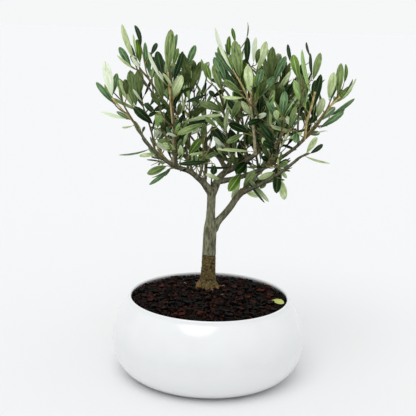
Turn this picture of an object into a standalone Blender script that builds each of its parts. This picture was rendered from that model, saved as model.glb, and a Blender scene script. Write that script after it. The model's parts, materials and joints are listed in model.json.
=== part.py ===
"""Olive bonsai in a round white glazed bowl.

Metres, +Z up. The origin is the centre of the bowl's flat underside. +X is to the right and +Y to
the back, seen from the front. Every limb and every spray of leaves is grown from a few named sizes.
"""

import math
from random import Random
from typing import NamedTuple

import bmesh
import bpy
import numpy as np
from mathutils import Euler, Matrix, Vector
from mathutils.bvhtree import BVHTree

MM = 0.001
UP = Vector((0, 0, 1))

# Neighbouring solids stay this far apart.
SEAT_GAP = 0.3 * MM

# Bowl: a squat turned form that is widest at half height and draws in to a round lip.
BOWL_RADIUS = 120 * MM
BOWL_HEIGHT = 98 * MM
BELLY_HEIGHT = 48 * MM
FOOT_RADIUS = 84 * MM
MOUTH_RADIUS = 97 * MM
WALL = 5 * MM
FLOOR = 8 * MM
LIP_RADIUS = 1.8 * MM
LOWER_ROUNDNESS = 2.2
UPPER_ROUNDNESS = 1.9
TURN_STEPS = 48

# Soil: it fills the bowl and is mounded to a flat top round the trunk.
SOIL_EDGE_HEIGHT = BOWL_HEIGHT - 5 * MM
SOIL_SLOPE_RADIUS = 70 * MM
SOIL_SLOPE_HEIGHT = BOWL_HEIGHT + 1 * MM
SOIL_TOP_RADIUS = 40 * MM
SOIL_TOP_HEIGHT = BOWL_HEIGHT + 4 * MM

# Lava dressing: its largest grains lie in staggered rows over the soil, each half sunk in it.
GRAIN_SEED = 3
GRAIN_SPACING = 18 * MM
GRAIN_LENGTH = 8.6 * MM
GRAIN_BREADTH = 0.76  # of its length
GRAIN_DEPTH = 0.62  # of its length
GRAIN_SHAKE = 0.3  # of the spacing
GRAIN_LEAN = 0.25
GRAIN_FREE_RADIUS = 22 * MM  # round the trunk

# Trunk: nearly upright, with a root flare and a step in girth above the right bough.
TRUNK_FOOT = Vector((-2.2 * MM, 22 * MM, SOIL_TOP_HEIGHT + SEAT_GAP))
TRUNK_REACH = Vector((1.8 * MM, 0, 124 * MM))
TRUNK_LOW_RADIUS = 8.6 * MM
TRUNK_TAPER = 0.12
TRUNK_HIGH_RADIUS = 4.9 * MM
TRUNK_STEP_AT = 0.67
TRUNK_STEP_LENGTH = 0.035
FLARE = 4.2 * MM
FLARE_HEIGHT = 9 * MM


class Limb(NamedTuple):
    """A bough: where it springs from, how far its tip reaches, how it bows, and its girth."""

    parent: str
    share: float  # how far along the parent it springs, 0 at the root and 1 at the tip
    right: float
    back: float
    rise: float
    bow: float  # how far its middle stands above the straight line, in mm
    root_radius: float
    tip_radius: float


class Spray(NamedTuple):
    """A mass of foliage: the limb whose tip bears it, how far its stem reaches, and its seed."""

    limb: str
    right: float
    back: float
    rise: float
    seed: int
    hang: float = 0.0  # how far the leaves hang down, 0 for none and 1 for plumb


# Boughs, in mm. The four that spring from the trunk come first.
LIMBS = {
    "bough_left": Limb("trunk", 0.97, -46, -22, 37, 6, 4.0, 2.9),
    "bough_middle": Limb("trunk", 0.98, 19, 18, 27, 2, 4.7, 3.8),
    "bough_right": Limb("trunk", 0.565, 40, 3, 55, 1, 4.8, 3.9),
    "dead_stub": Limb("trunk", 0.99, -1, -4, 20, 0, 1.7, 0.7),
    "bough_far_left": Limb("bough_left", 0.97, -45, -21, 48, -5, 2.4, 1.6),
    "bough_left_front": Limb("bough_left", 0.96, -1, -14, 20, -2, 2.4, 1.9),
    "bough_left_high": Limb("bough_left_front", 0.85, -19, 4, 50, -4, 1.7, 1.4),
    "bough_left_outer": Limb("bough_far_left", 0.45, -5, 13, 13, -2, 1.7, 1.4),
    "bough_left_back": Limb("bough_left", 0.60, -3, 14, 14, -2, 2.1, 1.6),
    "bough_left_inner": Limb("bough_left", 0.25, 1, 20, 14, -2, 2.2, 1.6),
    "bough_front_left": Limb("bough_left", 0.48, 5, -20, 9, -2, 2.0, 1.5),
    "bough_left_low": Limb("bough_far_left", 0.30, -12, -16, 4, -1, 1.5, 1.2),
    "bough_back_left": Limb("bough_middle", 0.97, -28, 42, 24, 3, 3.2, 2.0),
    "bough_left_rear": Limb("bough_back_left", 0.60, -24, 6, 12, -3, 1.9, 1.5),
    "bough_back": Limb("bough_middle", 0.90, 14, 46, 34, -3, 2.8, 1.8),
    "bough_centre": Limb("bough_middle", 0.92, 36, -36, 29, -2, 3.7, 2.6),
    "bough_centre_mid": Limb("bough_centre", 0.35, -7, -10, 14, -1, 2.0, 1.5),
    "bough_centre_high": Limb("bough_centre", 0.68, -3, 4, 15, -1, 2.0, 1.5),
    "bough_centre_right": Limb("bough_centre", 0.92, 8, 13, 13, -1, 2.0, 1.5),
    "bough_right_middle": Limb("bough_middle", 0.45, 101, -38, 61, -10, 3.4, 1.8),
    "bough_right_high": Limb("bough_right_middle", 0.93, -3, -12, 17, -1, 1.7, 1.4),
    "bough_right_inner": Limb("bough_right_middle", 0.64, 3, 5, 13, -1, 2.0, 1.5),
    "bough_front_right": Limb("bough_right_middle", 0.46, 6, -19, 8, -2, 2.1, 1.5),
    "bough_right_low": Limb("bough_right", 0.96, 62, -62, 54, -4, 2.9, 1.7),
    "bough_right_back": Limb("bough_right", 0.94, 40, 46, 46, -3, 2.9, 1.8),
    "bough_back_right": Limb("bough_right_back", 0.60, -6, 8, 15, -1, 1.9, 1.5),
    "spur_left": Limb("bough_left", 0.90, -5, -7, 1, 0, 1.4, 1.1),
    "spur_middle": Limb("bough_right_middle", 0.22, -3, -9, 3, 0, 1.4, 1.1),
    "spur_right": Limb("bough_right_middle", 0.60, 1, -8, 3, 0, 1.4, 1.1),
    "spur_low": Limb("bough_right", 0.93, 6, -8, 3, 0, 1.4, 1.1),
}

# Masses of foliage, in mm.
SPRAYS = {
    "foliage_far_left": Spray("bough_far_left", -22, 2, 40, 11),
    "foliage_left_front": Spray("bough_left_front", -6, -34, 104, 12),
    "foliage_left_high": Spray("bough_left_high", -32, 8, 58, 13),
    "foliage_left_outer": Spray("bough_left_outer", -19, 21, 57, 14),
    "foliage_left_back": Spray("bough_left_back", -4, 34, 90, 15),
    "foliage_left_inner": Spray("bough_left_inner", -3, 50, 90, 16),
    "foliage_front_left": Spray("bough_front_left", 1, -54, 73, 17),
    "foliage_left_low": Spray("bough_left_low", -22, -12, 6, 18, 0.3),
    "foliage_back_left": Spray("bough_back_left", -18, 28, 80, 19),
    "foliage_left_rear": Spray("bough_left_rear", -40, 12, 72, 20),
    "foliage_back": Spray("bough_back", -2, 30, 78, 21),
    "foliage_centre": Spray("bough_centre", -12, -38, 84, 22),
    "foliage_centre_mid": Spray("bough_centre_mid", -15, -26, 90, 23),
    "foliage_centre_high": Spray("bough_centre_high", -16, 0, 107, 24),
    "foliage_centre_right": Spray("bough_centre_right", 12, 27, 89, 25),
    "foliage_far_right": Spray("bough_right_middle", 30, 8, 48, 26),
    "foliage_right_high": Spray("bough_right_high", 2, -14, 60, 27),
    "foliage_right_inner": Spray("bough_right_inner", 5, 17, 85, 28),
    "foliage_front_right": Spray("bough_front_right", 16, -53, 71, 29),
    "foliage_right_low": Spray("bough_right_low", 26, -14, 20, 30, 0.2),
    "foliage_right_back": Spray("bough_right_back", 26, 20, 72, 31),
    "foliage_back_right": Spray("bough_back_right", 0, 26, 91, 32),
    "foliage_spur_left": Spray("spur_left", -9, -3, -3, 33, 0.3),
    "foliage_spur_middle": Spray("spur_middle", -3, -8, -3, 34, 0.75),
    "foliage_spur_right": Spray("spur_right", 3, -6, -3, 35, 0.9),
    "foliage_spur_low": Spray("spur_low", 9, -4, -2, 36, 0.3),
}

# How a spray grows: crossed pairs of leaves along a stem and its side twigs.
LEAF_LENGTH = 46 * MM
LEAF_WIDTH = 0.25  # of its length
LEAF_THICKNESS = 0.022  # of its length
LEAF_WIDEST_AT = 0.56  # of its length
LEAF_SUNK = 0.5 * MM
LEAF_ANGLE_LOW = math.radians(66)
LEAF_ANGLE_HIGH = math.radians(20)
FIRST_NODE = 9 * MM
LAST_NODE = 1.5 * MM  # short of the tip
NODE_GAP = 12.5 * MM
BUD_RATE = 0.42
TWIG_ANGLE = math.radians(48)
TWIG_SHARE = 0.62
SHORTEST_TWIG = 20 * MM
TWIG_RADIUS = 1.4 * MM
TWIG_TIP_RADIUS = 1.2 * MM
LIGHT_PULL = 0.35

# A leaf short of room is folded in towards its twig by a share and shrunk, in these steps.
LEAF_POSES = ((0, 1), (0.35, 1), (0.6, 0.85), (0.8, 0.7))
PAIR_SPACING = 1 * MM
SPACE_MARGIN = 1.2 * MM
SPACE_SAMPLES = 14
LIMB_CLEARANCE = 0.5 * MM

# How finely limbs and stems are divided.
TRUNK_STATIONS = (0, 0.03, 0.07, 0.12, 0.2, 0.3, 0.42, 0.52, 0.6, 0.66, 0.72, 0.8, 0.9, 1)
TRUNK_SIDES = 14
THICK_LIMB = 3  # in mm
THICK_LIMB_SIDES = 8
THIN_LIMB_SIDES = 6
TWIG_SIDES = 3
LIMB_STATIONS = 6
STEM_STATIONS = 6
TWIG_STATIONS = 3


def clear_scene():
    for obj in list(bpy.data.objects):
        bpy.data.objects.remove(obj)


def finish(name, colour, roughness):
    """A plain material with the part's colour and gloss."""
    material = bpy.data.materials.new(name)
    material.use_nodes = True
    shader = material.node_tree.nodes["Principled BSDF"]
    shader.inputs["Base Color"].default_value = (*colour, 1)
    shader.inputs["Roughness"].default_value = roughness
    shader.inputs["Metallic"].default_value = 0
    return material


def add_object(name, shape, material=None):
    """Turns a bmesh into an object of the scene."""
    mesh = bpy.data.meshes.new(name)
    shape.to_mesh(mesh)
    shape.free()
    obj = bpy.data.objects.new(name, mesh)
    bpy.context.scene.collection.objects.link(obj)
    if material:
        mesh.materials.append(material)
    return obj


def shares(count):
    return [i / (count - 1) for i in range(count)]


def apply_modifiers(obj):
    graph = bpy.context.evaluated_depsgraph_get()
    mesh = bpy.data.meshes.new_from_object(obj.evaluated_get(graph))
    obj.modifiers.clear()
    obj.data = mesh


def keep_largest_body(obj):
    """Drops the scraps that a cut leaves, and any hollow that a union seals."""
    shape = bmesh.new()
    shape.from_mesh(obj.data)
    bodies, seen = [], set()
    for start in shape.verts:
        if start in seen:
            continue
        body, front = {start}, [start]
        while front:
            for edge in front.pop().link_edges:
                fresh = [vert for vert in edge.verts if vert not in body]
                body.update(fresh)
                front.extend(fresh)
        seen |= body
        bodies.append(body)
    keep = max(bodies, key=lambda body: max((vert.co - start_of(body)).length for vert in body))
    for body in bodies:
        if body is not keep:
            bmesh.ops.delete(shape, geom=list(body), context="VERTS")
    shape.to_mesh(obj.data)
    shape.free()


def start_of(body):
    """The lowest point of a body."""
    return min((vert.co for vert in body), key=lambda place: place.z)


def fuse(body, shapes):
    """Joins the shapes into the body by a Boolean union."""
    others = bpy.data.collections.new(body.name + "_pieces")
    bpy.context.scene.collection.children.link(others)
    for i, shape in enumerate(shapes):
        piece = add_object(f"{body.name}_piece_{i}", shape)
        bpy.context.scene.collection.objects.unlink(piece)
        others.objects.link(piece)
    union = body.modifiers.new("fused", "BOOLEAN")
    union.operation = "UNION"
    union.operand_type = "COLLECTION"
    union.collection = others
    apply_modifiers(body)
    for piece in list(others.objects):
        bpy.data.objects.remove(piece)
    bpy.data.collections.remove(others)
    keep_largest_body(body)


# Turned forms

def rounded_quarter(start, end, roundness, count):
    """Points from start, where the line runs level, to end, where it runs upright."""
    points = []
    for share in shares(count):
        turn = share * math.pi / 2
        outward = math.sin(turn) ** (2 / roundness)
        upward = 1 - math.cos(turn) ** (2 / roundness)
        radius = start[0] + (end[0] - start[0]) * outward
        height = start[1] + (end[1] - start[1]) * upward
        points.append((radius, height))
    return points


def shoulder(belly_radius, mouth_radius, count):
    """Points from the belly up to the mouth, drawing in ever faster."""
    points = []
    mouth_height = BOWL_HEIGHT - WALL / 2
    for share in shares(count):
        radius = belly_radius - (belly_radius - mouth_radius) * share**UPPER_ROUNDNESS
        points.append((radius, BELLY_HEIGHT + (mouth_height - BELLY_HEIGHT) * share))
    return points


def outside():
    """The bowl's outside, from the edge of the foot up to the lip."""
    lower = rounded_quarter((FOOT_RADIUS, 0), (BOWL_RADIUS, BELLY_HEIGHT), LOWER_ROUNDNESS, 6)
    return lower + shoulder(BOWL_RADIUS, MOUTH_RADIUS + 2 * LIP_RADIUS, 6)[1:]


def inside(gap):
    """The bowl's inside, from the lip down to the edge of the floor, moved inwards by gap."""
    corner = (FOOT_RADIUS - WALL / 2 - gap, FLOOR + gap)
    belly = (BOWL_RADIUS - WALL - gap, BELLY_HEIGHT)
    lower = rounded_quarter(corner, belly, LOWER_ROUNDNESS, 4)
    return (lower[:-1] + shoulder(belly[0], MOUTH_RADIUS - gap, 4))[::-1]


def lip():
    """The rounded edge between the bowl's outside and its inside."""
    points = []
    for turn in (math.pi / 4, math.pi / 2, math.pi * 3 / 4):
        radius = MOUTH_RADIUS + LIP_RADIUS + LIP_RADIUS * math.cos(turn)
        points.append((radius, BOWL_HEIGHT - WALL / 2 + WALL / 2 * math.sin(turn)))
    return points


def turned(profile):
    """Spins a profile of (radius, height) points about Z."""
    shape = bmesh.new()
    points = [shape.verts.new((radius, 0, height)) for radius, height in profile]
    edges = [shape.edges.new(pair) for pair in zip(points, points[1:])]
    bmesh.ops.spin(
        shape,
        geom=points + edges,
        cent=(0, 0, 0),
        axis=(0, 0, 1),
        angle=math.tau,
        steps=TURN_STEPS,
        use_merge=True,
        use_duplicate=False,
    )
    bmesh.ops.remove_doubles(shape, verts=shape.verts, dist=0.01 * MM)
    bmesh.ops.recalc_face_normals(shape, faces=shape.faces)
    return shape


def make_bowl():
    profile = [(0, 0)] + outside() + lip() + inside(0) + [(0, FLOOR)]
    bowl = add_object("bowl", turned(profile), finish("white_glaze", (0.86, 0.87, 0.87), 0.22))
    shade_round(bowl)


def soil_top():
    """The soil's upper side as (radius, height) points, from the middle out."""
    return [
        (0, SOIL_TOP_HEIGHT),
        (SOIL_TOP_RADIUS, SOIL_TOP_HEIGHT),
        (SOIL_SLOPE_RADIUS, SOIL_SLOPE_HEIGHT),
        (MOUTH_RADIUS - SEAT_GAP, SOIL_EDGE_HEIGHT),
    ]


def soil_height(radius):
    return float(np.interp(radius, *zip(*soil_top())))


def grain_places():
    """The place, the turn and the size of each large grain, clear of the trunk and the bowl."""
    rng = Random(GRAIN_SEED)
    rows = int(MOUTH_RADIUS / GRAIN_SPACING * 1.2) + 1
    places = []
    for row in range(-rows, rows + 1):
        for column in range(-rows, rows + 1):
            x = (column + row % 2 / 2 + rng.uniform(-GRAIN_SHAKE, GRAIN_SHAKE)) * GRAIN_SPACING
            y = (row * math.sqrt(0.75) + rng.uniform(-GRAIN_SHAKE, GRAIN_SHAKE)) * GRAIN_SPACING
            length = GRAIN_LENGTH * rng.uniform(0.82, 1.12)
            lean = [rng.uniform(-GRAIN_LEAN, GRAIN_LEAN) for _ in range(2)]
            turn = Euler((*lean, rng.uniform(0, math.tau)))
            radius = math.hypot(x, y)
            from_trunk = math.hypot(x - TRUNK_FOOT.x, y - TRUNK_FOOT.y)
            if radius + length / 2 > MOUTH_RADIUS - 2 * SEAT_GAP or from_trunk < GRAIN_FREE_RADIUS:
                continue
            size = Matrix.Diagonal((length, length * GRAIN_BREADTH, length * GRAIN_DEPTH, 1))
            centre = Matrix.Translation((x, y, soil_height(radius)))
            places.append(centre @ turn.to_matrix().to_4x4() @ size)
    return places


def grain_shape(place, rng):
    """A block with its corners knocked off by different amounts."""
    shape = bmesh.new()
    bmesh.ops.create_cube(shape, size=1)
    for vert in shape.verts:
        vert.co *= rng.uniform(0.72, 1)
    shape.transform(place)
    return shape


def make_soil():
    side = [point for point in inside(SEAT_GAP) if point[1] < SOIL_EDGE_HEIGHT]
    profile = soil_top() + side + [(0, FLOOR + SEAT_GAP)]
    soil = add_object("soil", turned(profile), finish("lava_grit", (0.035, 0.022, 0.017), 0.95))
    rng = Random(GRAIN_SEED)
    fuse(soil, [grain_shape(place, rng) for place in grain_places()])


# Limbs

def tube(path, radii, sides, root_heading=None):
    """A tapering tube along a path, with a ring at each point and both ends capped."""
    shape = bmesh.new()
    rings = []
    facing = (path[1] - path[0]).to_track_quat("Z", "Y")
    last = len(path) - 1
    for i, point in enumerate(path):
        heading = path[min(i + 1, last)] - path[max(i - 1, 0)]
        if i == 0 and root_heading is not None:
            heading = root_heading
        facing = (facing @ UP).rotation_difference(heading) @ facing
        place = Matrix.Translation(point) @ facing.to_matrix().to_4x4()
        ring = bmesh.ops.create_circle(
            shape, cap_ends=i in (0, last), radius=radii[i], segments=sides, matrix=place
        )
        rings.append(ring["verts"])
    for lower, upper in zip(rings, rings[1:]):
        for i in range(sides):
            j = (i + 1) % sides
            shape.faces.new((lower[i], lower[j], upper[j], upper[i]))
    bmesh.ops.recalc_face_normals(shape, faces=shape.faces)
    return shape


def bowed_path(root, reach, bow, count):
    """Points from root to root + reach, whose middle stands bow above the straight line."""
    along = reach.normalized()
    above = (UP - along * along.z).normalized()
    return [root + reach * t + above * (4 * bow * t * (1 - t)) for t in shares(count)]


def at_share(path, share):
    """The point and the heading at a share of the way along a path of even steps."""
    place = min(share * (len(path) - 1), len(path) - 1.001)
    i = int(place)
    return path[i].lerp(path[i + 1], place - i), (path[i + 1] - path[i]).normalized()


def trunk_radius(share):
    """The trunk's gentle taper, its step above the right bough, and the flare of its roots."""
    below_step = 1 / (1 + math.exp((share - TRUNK_STEP_AT) / TRUNK_STEP_LENGTH))
    low = TRUNK_LOW_RADIUS * (1 - TRUNK_TAPER * share)
    flare = FLARE * math.exp(-share * TRUNK_REACH.z / FLARE_HEIGHT)
    return TRUNK_HIGH_RADIUS + (low - TRUNK_HIGH_RADIUS) * below_step + flare


def limb_shapes():
    """The path and the radii of the trunk and of every bough, by name."""
    trunk = [TRUNK_FOOT + TRUNK_REACH * t for t in TRUNK_STATIONS]
    shapes = {"trunk": (trunk, [trunk_radius(t) for t in TRUNK_STATIONS])}
    axes = {"trunk": [TRUNK_FOOT, TRUNK_FOOT + TRUNK_REACH]}
    for name, limb in LIMBS.items():
        root, _ = at_share(axes[limb.parent], limb.share)
        reach = Vector((limb.right, limb.back, limb.rise)) * MM
        path = bowed_path(root, reach, limb.bow * MM, LIMB_STATIONS)
        taper = limb.tip_radius - limb.root_radius
        radii = [(limb.root_radius + taper * t) * MM for t in shares(LIMB_STATIONS)]
        shapes[name] = (path, radii)
        axes[name] = path
    return shapes


def sides_of(name):
    if name == "trunk":
        return TRUNK_SIDES
    return THICK_LIMB_SIDES if LIMBS[name].root_radius > THICK_LIMB else THIN_LIMB_SIDES


def grown_tube(name, shapes, gap):
    """A limb's tube made wider and longer by gap."""
    path, radii = shapes[name]
    tip = path[-1] + (path[-1] - path[-2]).normalized() * gap
    return tube(path[:-1] + [tip], [radius + gap for radius in radii], sides_of(name))


def shade_round(obj):
    obj.data.shade_smooth()
    obj.data.set_sharp_from_angle(angle=math.radians(45))


def make_limbs(shapes, bark, dead_wood):
    """Each limb is a tube, cut back from the limbs made before it so that it seats on them."""
    made = []
    for name, (path, radii) in shapes.items():
        material = dead_wood if name == "dead_stub" else bark
        limb = add_object(name, tube(path, radii, sides_of(name)), material)
        bounds = BVHTree.FromObject(limb, bpy.context.evaluated_depsgraph_get())
        for other in made:
            grown = grown_tube(other, shapes, SEAT_GAP)
            if not bounds.overlap(BVHTree.FromBMesh(grown)):
                grown.free()
                continue
            cutter = add_object("cutter", grown)
            cut = limb.modifiers.new("seat", "BOOLEAN")
            cut.operation = "DIFFERENCE"
            cut.object = cutter
            apply_modifiers(limb)
            bpy.data.objects.remove(cutter)
        keep_largest_body(limb)
        shade_round(limb)
        made.append(name)


# Foliage

class Space:
    """What each spray keeps to: the points nearer to its own stem than to any other, off the limbs."""

    def __init__(self, stems, shapes):
        self.number = {name: i for i, name in enumerate(stems)}
        points, owners = [], []
        for name, stem in stems.items():
            beyond = stem + [stem[-1] + (stem[-1] - stem[-2]) * 0.8]
            for share in shares(SPACE_SAMPLES):
                points.append(tuple(at_share(beyond, share)[0]))
                owners.append(self.number[name])
        self.points, self.owners = np.array(points), np.array(owners)
        self.limbs = [BVHTree.FromBMesh(grown_tube(name, shapes, LIMB_CLEARANCE)) for name in shapes]

    def holds(self, name, places):
        """Whether the places are all nearer to this spray's stem than to any other stem."""
        away = np.linalg.norm(np.array([tuple(p) for p in places])[:, None] - self.points, axis=2)
        mine = self.owners == self.number[name]
        return bool((away[:, mine].min(1) + SPACE_MARGIN < away[:, ~mine].min(1)).all())

    def clears_limbs(self, tree):
        return not any(limb.overlap(tree) for limb in self.limbs)


class Twig(NamedTuple):
    """A twig and the leaves that stand on it, which are dropped with it."""

    path: list
    root_radius: float
    leaves: list


class Leaf(NamedTuple):
    """Where a leaf springs, how its twig runs there, and how it stands off the twig."""

    point: Vector
    along: Vector
    outward: Vector
    angle: float
    size: float
    roll: float


def tip_heading(limb, shapes):
    path, _ = shapes[limb]
    return (path[-1] - path[-2]).normalized()


def stem_of(spray, shapes):
    """A stem sets off along its limb and turns up to the light, or down where it hangs."""
    heading = tip_heading(spray.limb, shapes)
    root = shapes[spray.limb][0][-1] + heading * SEAT_GAP
    reach = Vector((spray.right, spray.back, spray.rise)) * MM
    tip = root + reach
    arrival = (reach.normalized() + UP * math.copysign(1, spray.rise)).normalized()
    third = reach.length / 3
    leave, arrive = root + heading * third, tip - arrival * third
    points = []
    for t in shares(STEM_STATIONS):
        u = 1 - t
        points.append(root * u**3 + leave * 3 * u * u * t + arrive * 3 * u * t * t + tip * t**3)
    return points


def square_to(direction, turn):
    """The direction square to another, turned round it."""
    level = direction.cross(Vector((0.37, 0.93, 0)))
    return Matrix.Rotation(turn, 3, direction) @ level.normalized()


def grow(spray, stem):
    """The twigs of one spray with their leaves, stem first.

    Side twigs spring from some of the stem's axils. All draws are made here, so they stay the same
    whatever is skipped later for want of room.
    """
    rng = Random(spray.seed)
    twigs = []
    waiting = [(stem, LIMBS[spray.limb].tip_radius * MM)]
    while waiting:
        path, radius = waiting.pop(0)
        length = sum((b - a).length for a, b in zip(path, path[1:]))
        first = min(FIRST_NODE, length / 2)
        leafy = length - first - LAST_NODE
        count = max(2, round(leafy / NODE_GAP) + 1)
        phase = rng.uniform(0, math.pi)
        leaves = []
        for k in range(count):
            high = k / (count - 1)
            share = (first + leafy * high) / length
            point, along = at_share(path, share)
            for side in (0, math.pi):
                outward = square_to(along, phase + k * math.pi / 2 + side + rng.uniform(-0.35, 0.35))
                angle = LEAF_ANGLE_LOW + (LEAF_ANGLE_HIGH - LEAF_ANGLE_LOW) * high
                angle += rng.uniform(-0.2, 0.2)
                size = LEAF_LENGTH * rng.uniform(0.76, 1.14)
                leaves.append(Leaf(point, along, outward, angle, size, rng.uniform(-0.6, 0.6)))
                bud, stretch = rng.random(), rng.uniform(0.8, 1.15)
                if path is stem and 0 < k < count - 2 and bud < BUD_RATE:
                    run = max(SHORTEST_TWIG, length * (1 - share) * TWIG_SHARE * stretch)
                    heading = along * math.cos(TWIG_ANGLE) + outward * math.sin(TWIG_ANGLE)
                    reach = (heading + UP * LIGHT_PULL).normalized() * run
                    waiting.append((bowed_path(point, reach, -0.1 * run, TWIG_STATIONS), TWIG_RADIUS))
        twigs.append(Twig(path, radius, leaves))
    return twigs


def leaf_frame(leaf, fold, shrink, hang):
    """The matrix that puts a leaf's length on Z, its width on X and its upper face on Y."""
    angle = leaf.angle * (1 - fold)
    direction = leaf.along * math.cos(angle) + leaf.outward * math.sin(angle)
    drooped = direction * (1 - hang) + (leaf.outward * 0.45 - UP) * hang
    direction = drooped.normalized()
    level = leaf.along - direction * leaf.along.dot(direction)
    upper = Matrix.Rotation(leaf.roll, 3, direction) @ level
    across = upper.cross(direction).normalized()
    turned_to = Matrix((across, direction.cross(across), direction)).transposed().to_4x4()
    base = leaf.point - direction * LEAF_SUNK
    return Matrix.Translation(base) @ turned_to @ Matrix.Scale(leaf.size * shrink, 4)


def leaf_outline(frame):
    """Points round a leaf, all of which have to lie in its spray's space."""
    half = LEAF_WIDTH / 2
    spots = ((0, 0.25), (0, 0.5), (half, LEAF_WIDEST_AT), (-half, LEAF_WIDEST_AT), (0, 0.8), (0, 1))
    return [frame @ Vector((x, 0, z)) for x, z in spots]


def leaf_shape(frame):
    """A slim blade from point to point, flat below and ridged along its upper face."""
    shape = bmesh.new()
    base, tip = shape.verts.new((0, 0, 0)), shape.verts.new((0, 0, 1))
    left = shape.verts.new((-LEAF_WIDTH / 2, 0, LEAF_WIDEST_AT))
    right = shape.verts.new((LEAF_WIDTH / 2, 0, LEAF_WIDEST_AT))
    ridge = shape.verts.new((0, LEAF_THICKNESS, LEAF_WIDEST_AT))
    for first, second in ((left, right), (right, ridge), (ridge, left)):
        shape.faces.new((base, second, first))
        shape.faces.new((tip, first, second))
    bmesh.ops.recalc_face_normals(shape, faces=shape.faces)
    shape.transform(frame)
    return shape


def fitted_leaf(name, leaf, hang, space, neighbours):
    """The leaf and its tree in the first pose that has room, or None."""
    for fold, shrink in LEAF_POSES:
        frame = leaf_frame(leaf, fold, shrink, hang)
        if not space.holds(name, leaf_outline(frame)):
            continue
        shape = leaf_shape(frame)
        tree = BVHTree.FromBMesh(shape)
        if space.clears_limbs(tree) and not any(other.overlap(tree) for other in neighbours):
            return shape, tree
        shape.free()
    return None


def spray_pieces(name, spray, stem, root_heading, space):
    """The twigs and leaves of one spray that have room, each a closed shape, stem first."""
    pieces, placed = [], []
    for twig in grow(spray, stem):
        is_stem = twig.path is stem
        taper = TWIG_TIP_RADIUS - twig.root_radius
        radii = [twig.root_radius + taper * t for t in shares(len(twig.path))]
        shape = tube(twig.path, radii, TWIG_SIDES, root_heading if is_stem else None)
        if not is_stem:
            roomy = space.holds(name, twig.path[1:])
            if not roomy or not space.clears_limbs(BVHTree.FromBMesh(shape)):
                shape.free()
                continue
        pieces.append(shape)
        for leaf in twig.leaves:
            neighbours = [tree for point, tree in placed if (point - leaf.point).length > PAIR_SPACING]
            fitted = fitted_leaf(name, leaf, spray.hang, space, neighbours)
            if fitted:
                pieces.append(fitted[0])
                placed.append((leaf.point, fitted[1]))
    return pieces


def make_spray(name, spray, stem, shapes, space, leaf_green):
    """Twigs and leaves fused into one body."""
    pieces = spray_pieces(name, spray, stem, tip_heading(spray.limb, shapes), space)
    fuse(add_object(name, pieces[0], leaf_green), pieces[1:])


def main():
    clear_scene()
    make_bowl()
    make_soil()
    shapes = limb_shapes()
    bark = finish("grey_olive_bark", (0.16, 0.16, 0.11), 0.85)
    dead_wood = finish("dead_wood", (0.07, 0.055, 0.04), 0.9)
    leaf_green = finish("olive_leaf", (0.15, 0.22, 0.09), 0.5)
    make_limbs(shapes, bark, dead_wood)
    stems = {name: stem_of(spray, shapes) for name, spray in SPRAYS.items()}
    space = Space(stems, shapes)
    for name, spray in SPRAYS.items():
        make_spray(name, spray, stems[name], shapes, space, leaf_green)


main()
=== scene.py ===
"""Olive bonsai in a round white glazed bowl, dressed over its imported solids.

Metres, +Z up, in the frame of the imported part: +X is to the right and +Y to the back, seen from the
front, and the origin is the centre of the bowl's underside.
"""

import json
import math
from random import Random
from typing import NamedTuple

import bmesh
import bpy
import numpy as np
from mathutils import Euler, Matrix, Vector, noise
from mathutils.bvhtree import BVHTree

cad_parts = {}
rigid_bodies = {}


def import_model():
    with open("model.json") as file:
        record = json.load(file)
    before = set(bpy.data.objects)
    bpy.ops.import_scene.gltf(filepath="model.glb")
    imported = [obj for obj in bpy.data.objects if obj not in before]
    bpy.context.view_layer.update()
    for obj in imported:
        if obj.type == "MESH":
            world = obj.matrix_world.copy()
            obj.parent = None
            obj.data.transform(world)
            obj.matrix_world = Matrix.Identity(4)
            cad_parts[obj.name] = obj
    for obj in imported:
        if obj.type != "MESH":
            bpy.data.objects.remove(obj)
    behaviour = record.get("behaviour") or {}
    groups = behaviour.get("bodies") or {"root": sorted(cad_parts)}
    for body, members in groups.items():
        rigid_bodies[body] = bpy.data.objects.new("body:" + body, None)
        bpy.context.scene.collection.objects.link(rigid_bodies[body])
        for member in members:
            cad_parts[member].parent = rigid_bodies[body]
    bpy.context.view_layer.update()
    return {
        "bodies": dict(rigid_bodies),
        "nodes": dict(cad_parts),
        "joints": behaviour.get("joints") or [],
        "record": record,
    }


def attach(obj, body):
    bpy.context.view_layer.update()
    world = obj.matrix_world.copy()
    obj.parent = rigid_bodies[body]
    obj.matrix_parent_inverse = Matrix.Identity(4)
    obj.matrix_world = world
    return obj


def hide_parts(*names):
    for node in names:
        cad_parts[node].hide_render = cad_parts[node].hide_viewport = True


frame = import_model()


# Studio
# A sheet of white paper runs back without an edge. Soft daylight comes from all round, with a broad
# window high on the left. The camera stands a metre off, looks a little down and leans a trifle.

MM = 0.001
UP = Vector((0, 0, 1))
DAYLIGHT = (0.922, 0.928, 0.933)
WINDOW_STRENGTH = 1.1
WINDOW_BREADTH = math.radians(45)
WINDOW_TURN = Euler((math.radians(26), math.radians(-11), 0))
PAPER = (0.747, 0.754, 0.759)
PAPER_REACH = 30
PAPER_DROP = 0.2 * MM
CAMERA_PLACE = Vector((-4.5 * MM, -1045.98 * MM, 438.47 * MM))
CAMERA_DIP = math.radians(12.368)
CAMERA_LEAN = math.radians(1.63)
FRAME_WIDTH_MM = 36
LENS_MM = 75.57
PATCH_DETAIL = 4
GRAIN_DETAIL = 3
GRAIN_SHARE = 0.42  # of the mottle, the rest being patches
DARK_BELOW = 0.36  # of the mottle's value
LIGHT_ABOVE = 0.64

scene = bpy.context.scene
scene.view_settings.view_transform = "Standard"

daylight = bpy.data.worlds.new("daylight")
daylight.use_nodes = True
daylight.node_tree.nodes["Background"].inputs["Color"].default_value = (*DAYLIGHT, 1)
scene.world = daylight

window = bpy.data.objects.new("window", bpy.data.lights.new("window", "SUN"))
window.data.energy = WINDOW_STRENGTH
window.data.angle = WINDOW_BREADTH
window.rotation_euler = WINDOW_TURN
scene.collection.objects.link(window)

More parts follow.
